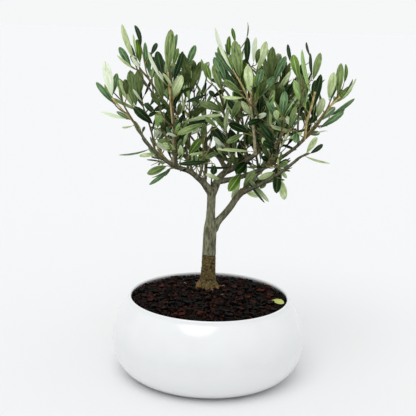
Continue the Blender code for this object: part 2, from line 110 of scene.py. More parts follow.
camera = bpy.data.objects.new("camera", bpy.data.cameras.new("camera"))
camera.data.sensor_width = FRAME_WIDTH_MM
camera.data.lens = LENS_MM
camera_stand = Matrix.Translation(CAMERA_PLACE) @ Matrix.Rotation(math.pi / 2 - CAMERA_DIP, 4, "X")
camera_stand = camera_stand @ Matrix.Rotation(CAMERA_LEAN, 4, "Z")
camera.matrix_world = camera_stand
scene.collection.objects.link(camera)
scene.camera = camera


def shader_group(name, inputs, outputs):
    """A shader group with sockets of these names and kinds, what it is given and what it puts out."""
    group = bpy.data.node_groups.new(name, "ShaderNodeTree")
    for way, sockets in (("INPUT", inputs), ("OUTPUT", outputs)):
        for socket, kind in sockets.items():
            group.interface.new_socket(socket, in_out=way, socket_type="NodeSocket" + kind)
    given = group.nodes.new("NodeGroupInput").outputs
    result = group.nodes.new("NodeGroupOutput").inputs
    return group, given, result


def added(nodes, kind, values):
    """A new shader node with these values at its inputs."""
    node = nodes.new("ShaderNode" + kind)
    for name, value in values.items():
        node.inputs[name].default_value = value
    return node


def linked(links, *pairs):
    for source, target in pairs:
        links.new(source, target)


def make_mottle():
    """A shader group: two colours in irregular grainy patches, with gloss and relief to match."""
    group, given, result = shader_group(
        "mottle",
        {
            "Place": "Vector",
            "Patches per metre": "Float",
            "Grains per metre": "Float",
            "Dark": "Color",
            "Light": "Color",
            "Smoothest": "Float",
            "Roughest": "Float",
        },
        {"Colour": "Color", "Roughness": "Float", "Relief": "Float"},
    )
    patches = added(group.nodes, "TexNoise", {"Detail": PATCH_DETAIL})
    grains = added(group.nodes, "TexNoise", {"Detail": GRAIN_DETAIL})
    both = added(group.nodes, "Mix", {"Factor": GRAIN_SHARE})
    spread = added(group.nodes, "MapRange", {"From Min": DARK_BELOW, "From Max": LIGHT_ABOVE})
    gloss = added(group.nodes, "MapRange", {})
    tint = added(group.nodes, "Mix", {})
    tint.data_type = "RGBA"
    linked(
        group.links,
        (given["Place"], patches.inputs["Vector"]),
        (given["Place"], grains.inputs["Vector"]),
        (given["Patches per metre"], patches.inputs["Scale"]),
        (given["Grains per metre"], grains.inputs["Scale"]),
        (patches.outputs["Fac"], both.inputs["A"]),
        (grains.outputs["Fac"], both.inputs["B"]),
        (both.outputs["Result"], spread.inputs["Value"]),
        (spread.outputs["Result"], tint.inputs["Factor"]),
        (given["Dark"], tint.inputs["A"]),
        (given["Light"], tint.inputs["B"]),
        (grains.outputs["Fac"], gloss.inputs["Value"]),
        (given["Smoothest"], gloss.inputs["To Min"]),
        (given["Roughest"], gloss.inputs["To Max"]),
        (tint.outputs["Result"], result["Colour"]),
        (gloss.outputs["Result"], result["Roughness"]),
        (grains.outputs["Fac"], result["Relief"]),
    )
    return group


MOTTLE = make_mottle()


def mottled(nodes, links, place, tones, patch, grain, roughness):
    """A mottle node whose patches and grains are that many metres across."""
    mottle = nodes.new("ShaderNodeGroup")
    mottle.node_tree = MOTTLE
    for name, value in (
        ("Patches per metre", 1 / patch),
        ("Grains per metre", 1 / grain),
        ("Dark", (*tones[0], 1)),
        ("Light", (*tones[1], 1)),
        ("Smoothest", roughness[0]),
        ("Roughest", roughness[1]),
    ):
        mottle.inputs[name].default_value = value
    links.new(place, mottle.inputs["Place"])
    return mottle


def surface(name, tones, patch, grain, roughness, relief, stretch=(1, 1, 1), shine=0.5, by="Object"):
    """A material mottled in two tones, whose gloss and fine relief vary over the surface."""
    material = bpy.data.materials.new(name)
    material.use_nodes = True
    nodes, links = material.node_tree.nodes, material.node_tree.links
    place = nodes.new("ShaderNodeTexCoord")
    stretched = added(nodes, "Mapping", {"Scale": stretch})
    mottle = mottled(nodes, links, stretched.outputs["Vector"], tones, patch, grain, roughness)
    bump = added(nodes, "Bump", {"Distance": relief})
    shader = nodes["Principled BSDF"]
    shader.inputs["Specular IOR Level"].default_value = shine
    linked(
        links,
        (place.outputs[by], stretched.inputs["Vector"]),
        (mottle.outputs["Colour"], shader.inputs["Base Color"]),
        (mottle.outputs["Roughness"], shader.inputs["Roughness"]),
        (mottle.outputs["Relief"], bump.inputs["Height"]),
        (bump.outputs["Normal"], shader.inputs["Normal"]),
    )
    return material


def shown(name, shape, *finishes):
    """Turns a bmesh into a smooth object of the scene with these finishes."""
    mesh = bpy.data.meshes.new(name)
    shape.to_mesh(mesh)
    shape.free()
    for finish in finishes:
        mesh.materials.append(finish)
    mesh.shade_smooth()
    piece = bpy.data.objects.new(name, mesh)
    scene.collection.objects.link(piece)
    return piece


paper_shape = bmesh.new()
bmesh.ops.create_grid(paper_shape, x_segments=1, y_segments=1, size=PAPER_REACH)
bmesh.ops.translate(paper_shape, verts=paper_shape.verts, vec=(0, 0, -PAPER_DROP))
white_paper = surface(
    "white_paper", (PAPER, PAPER), patch=80 * MM, grain=1 * MM, roughness=(0.85, 0.95), relief=0.01 * MM
)
shown("paper", paper_shape, white_paper)


# Bowl
# A squat slip-cast bowl, widest at half height and drawn in to a round lip, under a thick white
# glaze that pools a little unevenly. Painted light whitens the glaze down its side towards the foot,
# against the shade under the belly. Its foot is wiped clean and stands on bare biscuit.

BOWL_RADIUS = 120 * MM
BOWL_HEIGHT = 98 * MM
BELLY_HEIGHT = 48 * MM
FOOT_RADIUS = 84 * MM
FOOT_BREADTH = 8 * MM
FOOT_HOLLOW = 0.8 * MM
MOUTH_RADIUS = 97 * MM
WALL = 5 * MM
FLOOR = 8 * MM
LIP_RADIUS = 1.8 * MM
LOWER_ROUNDNESS = 2.2
UPPER_ROUNDNESS = 1.9
CURVE_POINTS = 16
LIP_POINTS = 9
TURN_STEPS = 160
WELD = 0.01 * MM  # within which points are one
TURNED_CREASE = math.radians(60)
BARE_FOOT_HEIGHT = 0.81 * MM  # under which the bowl is wiped clean of glaze
WHITE_GLAZE = (0.705, 0.717, 0.727)
POOLED_GLAZE = (0.730, 0.742, 0.751)
# Painted light: the glaze is whitened towards the foot to offset the shade under the belly.
GLAZE_PAINTED_LIGHT = (0.800, 0.808, 0.814)
PAINTED_LIGHT_FROM = 60 * MM  # in height, where the painted light on the lower glaze begins
PAINTED_LIGHT_FULL_AT = 8 * MM
COAT_WEIGHT = 0.6
COAT_ROUGHNESS = 0.08
BISCUIT = (0.62, 0.59, 0.54)
PALE_BISCUIT = (0.70, 0.67, 0.62)


def shares(count):
    return [i / (count - 1) for i in range(count)]


def between(start, end, share):
    """What lies that share of the way from start to end."""
    return start + (end - start) * share


def rounded_quarter(start, end, roundness, count):
    """Points from start, where the line runs level, to end, where it runs upright."""
    points = []
    for share in shares(count):
        turn = share * math.pi / 2
        outward = math.sin(turn) ** (2 / roundness)
        upward = 1 - math.cos(turn) ** (2 / roundness)
        points.append((between(start[0], end[0], outward), between(start[1], end[1], upward)))
    return points


def shoulder(belly_radius, mouth_radius, count):
    """Points from the belly up to the mouth, drawing in ever faster."""
    points = []
    mouth_height = BOWL_HEIGHT - WALL / 2
    for share in shares(count):
        radius = between(belly_radius, mouth_radius, share**UPPER_ROUNDNESS)
        points.append((radius, between(BELLY_HEIGHT, mouth_height, share)))
    return points


def lip(count):
    """The rounded edge between the bowl's outside and its inside."""
    points = []
    for share in shares(count)[1:-1]:
        turn = share * math.pi
        radius = MOUTH_RADIUS + LIP_RADIUS + LIP_RADIUS * math.cos(turn)
        points.append((radius, BOWL_HEIGHT - WALL / 2 + WALL / 2 * math.sin(turn)))
    return points


def turned(profile):
    """Spins a profile of (radius, height) points about Z."""
    shape = bmesh.new()
    points = [shape.verts.new((radius, 0, height)) for radius, height in profile]
    edges = [shape.edges.new(pair) for pair in zip(points, points[1:])]
    bmesh.ops.spin(
        shape,
        geom=points + edges,
        cent=(0, 0, 0),
        axis=(0, 0, 1),
        angle=math.tau,
        steps=TURN_STEPS,
        use_merge=True,
        use_duplicate=False,
    )
    bmesh.ops.remove_doubles(shape, verts=shape.verts, dist=WELD)
    bmesh.ops.recalc_face_normals(shape, faces=shape.faces)
    return shape


def bowl_outside():
    lower = rounded_quarter((FOOT_RADIUS, 0), (BOWL_RADIUS, BELLY_HEIGHT), LOWER_ROUNDNESS, CURVE_POINTS)
    return lower + shoulder(BOWL_RADIUS, MOUTH_RADIUS + 2 * LIP_RADIUS, CURVE_POINTS)[1:]


def bowl_inside(gap):
    """The bowl's inside, from the lip down to the edge of the floor, moved inwards by gap."""
    corner = (FOOT_RADIUS - WALL / 2 - gap, FLOOR + gap)
    belly = (BOWL_RADIUS - WALL - gap, BELLY_HEIGHT)
    lower = rounded_quarter(corner, belly, LOWER_ROUNDNESS, CURVE_POINTS)
    return (lower[:-1] + shoulder(belly[0], MOUTH_RADIUS - gap, CURVE_POINTS))[::-1]


def tint_over(material, mask, over):
    """Mixes a further colour, plain or from a socket, into a material by a mask."""
    nodes, links = material.node_tree.nodes, material.node_tree.links
    base_colour = nodes["Principled BSDF"].inputs["Base Color"]
    blend = nodes.new("ShaderNodeMix")
    blend.data_type = "RGBA"
    links.new(mask, blend.inputs["Factor"])
    links.new(base_colour.links[0].from_socket, blend.inputs["A"])
    if isinstance(over, tuple):
        blend.inputs["B"].default_value = (*over, 1)
    else:
        links.new(over, blend.inputs["B"])
    links.new(blend.outputs["Result"], base_colour)


def paint_light_on_glaze(glaze):
    """Paints light into the glaze: whitens it down the bowl's side towards the foot, against the shade
    there.
    """
    nodes, links = glaze.node_tree.nodes, glaze.node_tree.links
    place = nodes.new("ShaderNodeSeparateXYZ")
    painted_light_mask = added(nodes, "MapRange", {"From Min": PAINTED_LIGHT_FROM, "From Max": PAINTED_LIGHT_FULL_AT})
    painted_light_mask.interpolation_type = "SMOOTHSTEP"
    links.new(nodes.new("ShaderNodeTexCoord").outputs["Object"], place.inputs["Vector"])
    links.new(place.outputs["Z"], painted_light_mask.inputs["Value"])
    tint_over(glaze, painted_light_mask.outputs["Result"], GLAZE_PAINTED_LIGHT)


hollow_radius = FOOT_RADIUS - FOOT_BREADTH
foot = [(0, FOOT_HOLLOW), (hollow_radius, FOOT_HOLLOW), (hollow_radius + FOOT_HOLLOW, 0)]
bowl_shape = turned(foot + bowl_outside() + lip(LIP_POINTS) + bowl_inside(0) + [(0, FLOOR)])
for face in bowl_shape.faces:
    face.material_index = int(face.calc_center_median().z < BARE_FOOT_HEIGHT)
white_glaze = surface(
    "white_glaze", (WHITE_GLAZE, POOLED_GLAZE), patch=45 * MM, grain=22 * MM, roughness=(0.10, 0.2),
    relief=0.35 * MM,
)
glazed = white_glaze.node_tree.nodes["Principled BSDF"]
glazed.inputs["Coat Weight"].default_value = COAT_WEIGHT
glazed.inputs["Coat Roughness"].default_value = COAT_ROUGHNESS
# Painted light on the bowl's lower side.
paint_light_on_glaze(white_glaze)
biscuit = surface(
    "biscuit", (BISCUIT, PALE_BISCUIT), patch=12 * MM, grain=0.8 * MM, roughness=(0.75, 0.95),
    relief=0.08 * MM,
)
bowl = shown("glazed_bowl", bowl_shape, white_glaze, biscuit)
bowl.data.set_sharp_from_angle(angle=TURNED_CREASE)
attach(bowl, "root")
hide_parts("bowl")


# Soil bed
# Dark damp soil fills the bowl and is mounded to a flat top round the trunk. It hardly shows under
# its top dressing, so it is a plain turned form a little lower than the dressing's own height.

SOIL_SINK = 2.6 * MM
SEAT_GAP = 0.3 * MM
SOIL_TOP = (
    (0, 102 * MM),
    (40 * MM, 102 * MM),
    (70 * MM, 99 * MM),
    (MOUTH_RADIUS - SEAT_GAP, 93 * MM),
)
SOIL_STEPS = 24
DAMP_SOIL = (0.002, 0.0015, 0.0012)
DRY_SOIL = (0.007, 0.0045, 0.0035)


def soil_height(radius):
    """The height of the dressed soil at that distance from the bowl's middle."""
    return float(np.interp(radius, [r for r, _ in SOIL_TOP], [z for _, z in SOIL_TOP]))


soil_edge = SOIL_TOP[-1][0]
bed_top = [(soil_edge * t, soil_height(soil_edge * t) - SOIL_SINK) for t in shares(SOIL_STEPS)]
bed_side = [point for point in bowl_inside(SEAT_GAP) if point[1] < bed_top[-1][1]]
bed_shape = turned(bed_top + bed_side + [(0, FLOOR + SEAT_GAP)])
damp_soil = surface(
    "damp_soil", (DAMP_SOIL, DRY_SOIL), patch=6 * MM, grain=1.2 * MM, roughness=(0.8, 1), relief=1 * MM
)
soil_bed = shown("soil_bed", bed_shape, damp_soil)
soil_bed.data.set_sharp_from_angle(angle=TURNED_CREASE)
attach(soil_bed, "root")
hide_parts("soil")


# Lava dressing
# Crushed lava, four to nine millimetres across, is strewn over the soil: mostly near black, some
# brown and some rust red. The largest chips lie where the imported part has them, small ones between.

CHIP_SEED = 3
CHIP_SPACING = 18 * MM
CHIP_SHAKE = 0.3  # of the spacing
CHIP_LENGTH = 8.6 * MM
CHIP_LENGTHS = (0.82, 1.12)  # of that
CHIP_BREADTH = 0.76  # of its length
CHIP_DEPTH = 0.62  # of its length
CHIP_LEAN = 0.25
CHIP_FREE_RADIUS = 22 * MM  # round the trunk
CHIP_SHAPES = 7
CHIP_BALL = 0.6  # the radius of the ball that a chip's block is drawn towards
CHIP_ROUNDNESS = 0.45
CHIP_KNOCKS = 0.55
KNOCKS_ACROSS = 2.3
SHAPES_APART = 11.3  # in the noise that knocks them
SMALL_SEED = 7
SMALL_SPACING = 3.8 * MM
SMALL_SHAKE = 0.35
SMALL_LENGTHS = (3.8 * MM, 7.4 * MM)
SMALL_BREADTHS = (0.42, 0.72)  # of its length
SMALL_DEPTHS = (0.36, 0.62)  # of its length
SMALL_LEAN = 0.5
SMALL_LAYERS = ((-2.8 * MM, 1), (-1 * MM, 0.62))  # how deep each lies, and how full it is
SMALL_UNEVENNESS = 0.8 * MM
ROW_PITCH = math.sqrt(0.75)  # of the spacing
ROWS_FOR_SPACING = 1.2  # rows wanted for each spacing from the middle to the bowl's mouth
LIP_CLEARANCE = 2.4 * MM
TRUNK_FOOT = Vector((-2.2 * MM, 22 * MM, 102.3 * MM))
TRUNK_CLEARANCE = 13 * MM
LAVA_SHINE = 0.025
LAVA_CREASE = math.radians(40)
# Painted shade: the near black that the chips' sides and undersides darken to.
LAVA_PAINTED_SHADE = (0.0004, 0.0003, 0.0003)

# Each tone's dark and light colour, and its share of the chips.
LAVA_TONES = {
    "black_lava": ((0.0001, 0.0001, 0.0001), (0.0215, 0.0195, 0.0178), 0.68),
    "brown_lava": ((0.0002, 0.0001, 0.0001), (0.0600, 0.0225, 0.0160), 0.25),
    "red_lava": ((0.0006, 0.0002, 0.0001), (0.1000, 0.0240, 0.0140), 0.07),
}


def make_painted_flank_shade():
    """A shader group for painted shade: a mask that grows as the height of the faces' normal sinks from
    start to full.
    """
    group, given, result = shader_group(
        "painted_flank_shade", {"Starts at": "Float", "Full at": "Float", "Most": "Float"}, {"Mask": "Float"}
    )
    facing = group.nodes.new("ShaderNodeNewGeometry")
    parts = group.nodes.new("ShaderNodeSeparateXYZ")
    slope = group.nodes.new("ShaderNodeMapRange")
    linked(
        group.links,
        (facing.outputs["Normal"], parts.inputs["Vector"]),
        (parts.outputs["Z"], slope.inputs["Value"]),
        (given["Starts at"], slope.inputs["From Min"]),
        (given["Full at"], slope.inputs["From Max"]),
        (given["Most"], slope.inputs["To Max"]),
        (slope.outputs["Result"], result["Mask"]),
    )
    return group


PAINTED_SHADE_GROUP = make_painted_flank_shade()


def paint_flank_shade(material, colour, starts_at, full_at, most):
    """Paints shade into a material: mixes a darker colour in where its faces turn down, away from the
    light.
    """
    painted_flank_shade = material.node_tree.nodes.new("ShaderNodeGroup")
    painted_flank_shade.node_tree = PAINTED_SHADE_GROUP
    for name, value in (("Starts at", starts_at), ("Full at", full_at), ("Most", most)):
        painted_flank_shade.inputs[name].default_value = value
    tint_over(material, painted_flank_shade.outputs["Mask"], colour)


def about(rng, span):
    """A draw from span below nought to span above."""
    return rng.uniform(-span, span)


def from_trunk(x, y):
    """How far a place is from the trunk's axis."""
    return math.hypot(x - TRUNK_FOOT.x, y - TRUNK_FOOT.y)


def pattern_of(shape):
    """A shape's points as an array and its faces as lists, to be repeated many times over."""
    shape.verts.index_update()
    points = np.array([tuple(vert.co) for vert in shape.verts])
    faces = [[vert.index for vert in face.verts] for face in shape.faces]
    shape.free()
    return points, faces


def chip_pattern(number):
    """One chip, about a metre long before it is scaled: a block knocked out of true."""
    shape = bmesh.new()
    bmesh.ops.create_cube(shape, size=1)
    bmesh.ops.subdivide_edges(shape, edges=shape.edges, cuts=1, use_grid_fill=True)
    offset = Vector((number * SHAPES_APART, 0, 0))
    for vert in shape.verts:
        rounded = vert.co.normalized() * CHIP_BALL
        knocked = 1 + CHIP_KNOCKS * noise.noise(rounded * KNOCKS_ACROSS + offset)
        vert.co = vert.co.lerp(rounded, CHIP_ROUNDNESS) * knocked
    return pattern_of(shape)


def staggered(spacing, shake, rng):
    """Places in staggered rows over the soil, each shaken out of true."""
    rows = int(MOUTH_RADIUS / spacing * ROWS_FOR_SPACING) + 1
    for row in range(-rows, rows + 1):
        for column in range(-rows, rows + 1):
            x = (column + row % 2 / 2 + about(rng, shake)) * spacing
            y = (row * ROW_PITCH + about(rng, shake)) * spacing
            yield x, y


def laid_chip(x, y, sunk, turn, size):
    """The matrix that lays a chip on the soil, or that far into it."""
    place = Vector((x, y, soil_height(math.hypot(x, y)) + sunk))
    return Matrix.Translation(place) @ turn.to_matrix().to_4x4() @ Matrix.Diagonal((*size, 1))


def large_chips():
    """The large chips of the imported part, clear of the trunk and the bowl."""
    rng = Random(CHIP_SEED)
    chips = []
    for x, y in staggered(CHIP_SPACING, CHIP_SHAKE, rng):
        length = CHIP_LENGTH * rng.uniform(*CHIP_LENGTHS)
        turn = Euler((about(rng, CHIP_LEAN), about(rng, CHIP_LEAN), rng.uniform(0, math.tau)))
        clear_of_bowl = math.hypot(x, y) + length / 2 <= MOUTH_RADIUS - 2 * SEAT_GAP
        if clear_of_bowl and from_trunk(x, y) >= CHIP_FREE_RADIUS:
            size = (length, length * CHIP_BREADTH, length * CHIP_DEPTH)
            chips.append(laid_chip(x, y, 0, turn, size))
    return chips


def small_chips(rng):
    """The small chips between the large ones, in two layers."""
    chips = []
    for depth, fullness in SMALL_LAYERS:
        for x, y in staggered(SMALL_SPACING, SMALL_SHAKE, rng):
            length = rng.uniform(*SMALL_LENGTHS)
            size = (length, length * rng.uniform(*SMALL_BREADTHS), length * rng.uniform(*SMALL_DEPTHS))
            turn = Euler((rng.gauss(0, SMALL_LEAN), rng.gauss(0, SMALL_LEAN), rng.uniform(0, math.tau)))
            sunk = depth + about(rng, SMALL_UNEVENNESS)
            kept = rng.random() < fullness and math.hypot(x, y) < MOUTH_RADIUS - LIP_CLEARANCE
            if kept and from_trunk(x, y) > TRUNK_CLEARANCE:
                chips.append(laid_chip(x, y, sunk, turn, size))
    return chips


def arrays_of(places):
    """The turning part of every matrix, and its shift."""
    matrices = np.array([[list(row) for row in place] for place in places])
    return matrices[:, :3, :3], matrices[:, None, :3, 3]


def moved(points, places):
    """The points once for each matrix."""
    turns, offsets = arrays_of(places)
    return np.einsum("nij,kj->nki", turns, points) + offsets


def repeated(name, copies, faces, finishes, finish_numbers=None):
    """One piece of many copies: copies holds each one's own points, and faces those of one."""
    count, size = copies.shape[:2]
    every_face = [[i * size + corner for corner in face] for i in range(count) for face in faces]
    mesh = bpy.data.meshes.new(name)
    mesh.from_pydata(copies.reshape(-1, 3).tolist(), [], every_face)
    for finish in finishes:
        mesh.materials.append(finish)
    if finish_numbers is not None:
        mesh.polygons.foreach_set("material_index", finish_numbers.ravel())
    mesh.shade_smooth()
    piece = bpy.data.objects.new(name, mesh)
    scene.collection.objects.link(piece)
    return piece


chip_rng = Random(SMALL_SEED)
chip_patterns = [chip_pattern(number) for number in range(CHIP_SHAPES)]
chips = {tone: [[] for _ in range(CHIP_SHAPES)] for tone in LAVA_TONES}
tone_shares = [share for _, _, share in LAVA_TONES.values()]
for place in large_chips() + small_chips(chip_rng):
    tone = chip_rng.choices(list(LAVA_TONES), tone_shares)[0]
    chips[tone][chip_rng.randrange(CHIP_SHAPES)].append(place)
for tone, (dark, light, _) in LAVA_TONES.items():
    points = np.concatenate([moved(points, chips[tone][i]) for i, (points, _) in enumerate(chip_patterns)])
    lava = surface(
        tone, (dark, light), patch=3.4 * MM, grain=1.2 * MM, roughness=(0.5, 1), relief=0.5 * MM,
        shine=LAVA_SHINE,
    )
    # Painted shade on the chips' faces as they turn away from the light.
    paint_flank_shade(lava, LAVA_PAINTED_SHADE, starts_at=0.8, full_at=0.2, most=0.95)
    dressing = repeated(tone + "_chips", points, chip_patterns[0][1], [lava])
    dressing.data.set_sharp_from_angle(angle=LAVA_CREASE)
    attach(dressing, "root")
    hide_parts("soil")


# Straw
# A few bits of straw, root and bark lie round the foot of the trunk and here and there on the lava,
# dry and pale, half buried between the chips.

STRAW_SEED = 21
STRAW_COUNT = 16
STRAW_LENGTHS = (4 * MM, 9 * MM)
STRAW_AT_TRUNK = (14, 20)  # in mm, where every other bit lies
STRAW_FIRST = 15 * MM  # from the trunk's axis, and the rest ever further out
STRAW_STEP = 2.2 * MM
STRAW_FIELD = 0.85  # of the bowl's mouth
STRAW_SLOPES = (-0.2, 0.3)
STRAW_LIFT = 0.6 * MM
STRAW_BOW = 0.12  # of its length
STRAW_RADIUS = 0.42 * MM
STRAW_TAPER = 0.5
STRAW_SIDES = 5
STRAW_STATIONS = 5
STRAW_TONES = ((0.10, 0.075, 0.035), (0.42, 0.35, 0.22))


def tube(shape, path, radii, sides, root_heading=None, finish=0):
    """Adds a tapering tube along a path, with a ring at each point and both ends closed."""
    facing = (path[1] - path[0]).to_track_quat("Z", "Y")
    last = len(path) - 1
    lower = None
    for i, point in enumerate(path):
        heading = path[min(i + 1, last)] - path[max(i - 1, 0)]
        if i == 0 and root_heading is not None:
            heading = root_heading
        facing = (facing @ UP).rotation_difference(heading) @ facing
        place = Matrix.Translation(point) @ facing.to_matrix().to_4x4()
        ring = bmesh.ops.create_circle(
            shape, cap_ends=i in (0, last), radius=radii[i], segments=sides, matrix=place
        )
        upper = ring["verts"]
        if lower:
            for j in range(sides):
                k = (j + 1) % sides
                side = shape.faces.new((lower[j], lower[k], upper[k], upper[j]))
                side.material_index = finish
        lower = upper
    return shape


def bowed_path(root, reach, bow, count):
    """Points from root to root + reach, whose middle stands bow above the straight line."""
    along = reach.normalized()
    above = (UP - along * along.z).normalized()
    return [root + reach * t + above * (4 * bow * t * (1 - t)) for t in shares(count)]


straw_shape = bmesh.new()
straw_rng = Random(STRAW_SEED)
for number in range(STRAW_COUNT):
    turn, run = straw_rng.uniform(0, math.tau), straw_rng.uniform(*STRAW_LENGTHS)
    off_trunk = STRAW_FIRST + STRAW_STEP * number if number % 2 else straw_rng.uniform(*STRAW_AT_TRUNK) * MM
    x = TRUNK_FOOT.x + off_trunk * math.cos(turn)
    y = TRUNK_FOOT.y + off_trunk * math.sin(turn)
    heading = straw_rng.uniform(0, math.tau)
    if math.hypot(x, y) > MOUTH_RADIUS * STRAW_FIELD:
        continue
    reach = Vector((math.cos(heading), math.sin(heading), straw_rng.uniform(*STRAW_SLOPES))) * run
    root = Vector((x, y, soil_height(math.hypot(x, y)) + STRAW_LIFT)) - reach / 2
    path = bowed_path(root, reach, STRAW_BOW * run, STRAW_STATIONS)
    radii = [STRAW_RADIUS * (1 - STRAW_TAPER * abs(2 * t - 1)) for t in shares(STRAW_STATIONS)]
    tube(straw_shape, path, radii, STRAW_SIDES)
bmesh.ops.recalc_face_normals(straw_shape, faces=straw_shape.faces)
dry_straw = surface(
    "dry_straw", STRAW_TONES, patch=4 * MM, grain=0.8 * MM, roughness=(0.7, 0.9), relief=0.1 * MM
)
straw = shown("straw", straw_shape, dry_straw)
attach(straw, "root")
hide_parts("soil")


# Trunk and boughs
# The living wood is one skin: a smooth grey-olive bark with lengthwise streaks above, and a rough
# brown bark below that ends at a ragged ledge. Boughs swell out of the trunk, with knots and collars.
# Shade is painted into its grooves and knot hollows and onto its undersides.

TRUNK_REACH = Vector((1.8 * MM, 0, 124 * MM))
TRUNK_LOW_RADIUS = 8.6 * MM
TRUNK_TAPER = 0.12
TRUNK_HIGH_RADIUS = 4.9 * MM
TRUNK_STEP_AT = 0.67
TRUNK_STEP_LENGTH = 0.035
FLARE = 4.2 * MM
FLARE_HEIGHT = 9 * MM
TRUNK_STATIONS = (0, 0.03, 0.07, 0.12, 0.2, 0.3, 0.42, 0.52, 0.6, 0.66, 0.72, 0.8, 0.9, 1)
TRUNK_SIDES = 14
THICK_LIMB = 3  # in mm
THICK_LIMB_SIDES = 8
THIN_LIMB_SIDES = 6
LIMB_STATIONS = 6
SKIN_SIDES = 20
SKIN_STATIONS = 18
SKIN_PITCH = 0.65 * MM
SKIN_EASE = 0.5
SKIN_EASINGS = 4
SKIN_GAIN = 0.45 * MM  # what smoothing and relief take off the trunk
GAIN_ENDS = (7 * MM, 14 * MM)  # off the trunk's axis, where that fades out above the ledge
BOUGH_WARMTH = 0.4  # how much browner the boughs are than the trunk
WARMTH_GROWS = (8 * MM, 35 * MM)  # off the trunk's axis
CROOK = 0.52  # of a bough's girth
CROOK_SEED = 2
CROOK_PITCH = 3.1
CROOKS_APART = 7.7  # in the noise that bends them
COLLAR = 0.22
COLLAR_RUN = 1.4  # of a bough's own girth
TIP_COLLAR = 0.10
TIP_COLLAR_RUN = 3.5  # in mm
TRUNK_GIRTH = 8  # in mm, where boughs leave it


class Limb(NamedTuple):
    """A bough: where it springs from, how far its tip reaches, how it bows, and its girth."""

    parent: str
    share: float  # how far along the parent it springs, 0 at the root and 1 at the tip
    right: float
    back: float
    rise: float
    bow: float  # how far its middle stands above the straight line, in mm
    root_radius: float
    tip_radius: float


# In mm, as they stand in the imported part.
LIMBS = {
    "bough_left": Limb("trunk", 0.97, -46, -22, 37, 6, 4.0, 2.9),
    "bough_middle": Limb("trunk", 0.98, 19, 18, 27, 2, 4.7, 3.8),
    "bough_right": Limb("trunk", 0.565, 40, 3, 55, 1, 4.8, 3.9),
    "dead_stub": Limb("trunk", 0.99, -1, -4, 20, 0, 1.7, 0.7),
    "bough_far_left": Limb("bough_left", 0.97, -45, -21, 48, -5, 2.4, 1.6),
    "bough_left_front": Limb("bough_left", 0.96, -1, -14, 20, -2, 2.4, 1.9),
    "bough_left_high": Limb("bough_left_front", 0.85, -19, 4, 50, -4, 1.7, 1.4),
    "bough_left_outer": Limb("bough_far_left", 0.45, -5, 13, 13, -2, 1.7, 1.4),
    "bough_left_back": Limb("bough_left", 0.60, -3, 14, 14, -2, 2.1, 1.6),
    "bough_left_inner": Limb("bough_left", 0.25, 1, 20, 14, -2, 2.2, 1.6),
    "bough_front_left": Limb("bough_left", 0.48, 5, -20, 9, -2, 2.0, 1.5),
    "bough_left_low": Limb("bough_far_left", 0.30, -12, -16, 4, -1, 1.5, 1.2),
    "bough_back_left": Limb("bough_middle", 0.97, -28, 42, 24, 3, 3.2, 2.0),
    "bough_left_rear": Limb("bough_back_left", 0.60, -24, 6, 12, -3, 1.9, 1.5),
    "bough_back": Limb("bough_middle", 0.90, 14, 46, 34, -3, 2.8, 1.8),
    "bough_centre": Limb("bough_middle", 0.92, 36, -36, 29, -2, 3.7, 2.6),
    "bough_centre_mid": Limb("bough_centre", 0.35, -7, -10, 14, -1, 2.0, 1.5),
    "bough_centre_high": Limb("bough_centre", 0.68, -3, 4, 15, -1, 2.0, 1.5),
    "bough_centre_right": Limb("bough_centre", 0.92, 8, 13, 13, -1, 2.0, 1.5),
    "bough_right_middle": Limb("bough_middle", 0.45, 101, -38, 61, -10, 3.4, 1.8),
    "bough_right_high": Limb("bough_right_middle", 0.93, -3, -12, 17, -1, 1.7, 1.4),
    "bough_right_inner": Limb("bough_right_middle", 0.64, 3, 5, 13, -1, 2.0, 1.5),
    "bough_front_right": Limb("bough_right_middle", 0.46, 6, -19, 8, -2, 2.1, 1.5),
    "bough_right_low": Limb("bough_right", 0.96, 62, -62, 54, -4, 2.9, 1.7),
    "bough_right_back": Limb("bough_right", 0.94, 40, 46, 46, -3, 2.9, 1.8),
    "bough_back_right": Limb("bough_right_back", 0.60, -6, 8, 15, -1, 1.9, 1.5),
    "spur_left": Limb("bough_left", 0.90, -5, -7, 1, 0, 1.4, 1.1),
    "spur_middle": Limb("bough_right_middle", 0.22, -3, -9, 3, 0, 1.4, 1.1),
    "spur_right": Limb("bough_right_middle", 0.60, 1, -8, 3, 0, 1.4, 1.1),
    "spur_low": Limb("bough_right", 0.93, 6, -8, 3, 0, 1.4, 1.1),
}

# Toes of the root flare: the way each points, anticlockwise from the right, its reach and its girth.
TOES = (
    (178, 13.5, 4.2),
    (209, 15.5, 4.6),
    (240, 12.5, 3.4),
    (268, 14.5, 4.4),
    (300, 12.5, 3.2),
    (322, 17, 3.9),
    (352, 13.5, 3.8),
    (45, 12.5, 4.0),
    (95, 13.5, 3.8),
    (140, 13, 3.6),
)
TOE_HEIGHT = 8 * MM
TOE_ROOT = 3 * MM  # off the trunk's axis
TOE_BOW = 1.5 * MM
TOE_END_HEIGHT = -2.5 * MM
TOE_END_SHARE = 0.6  # of its girth

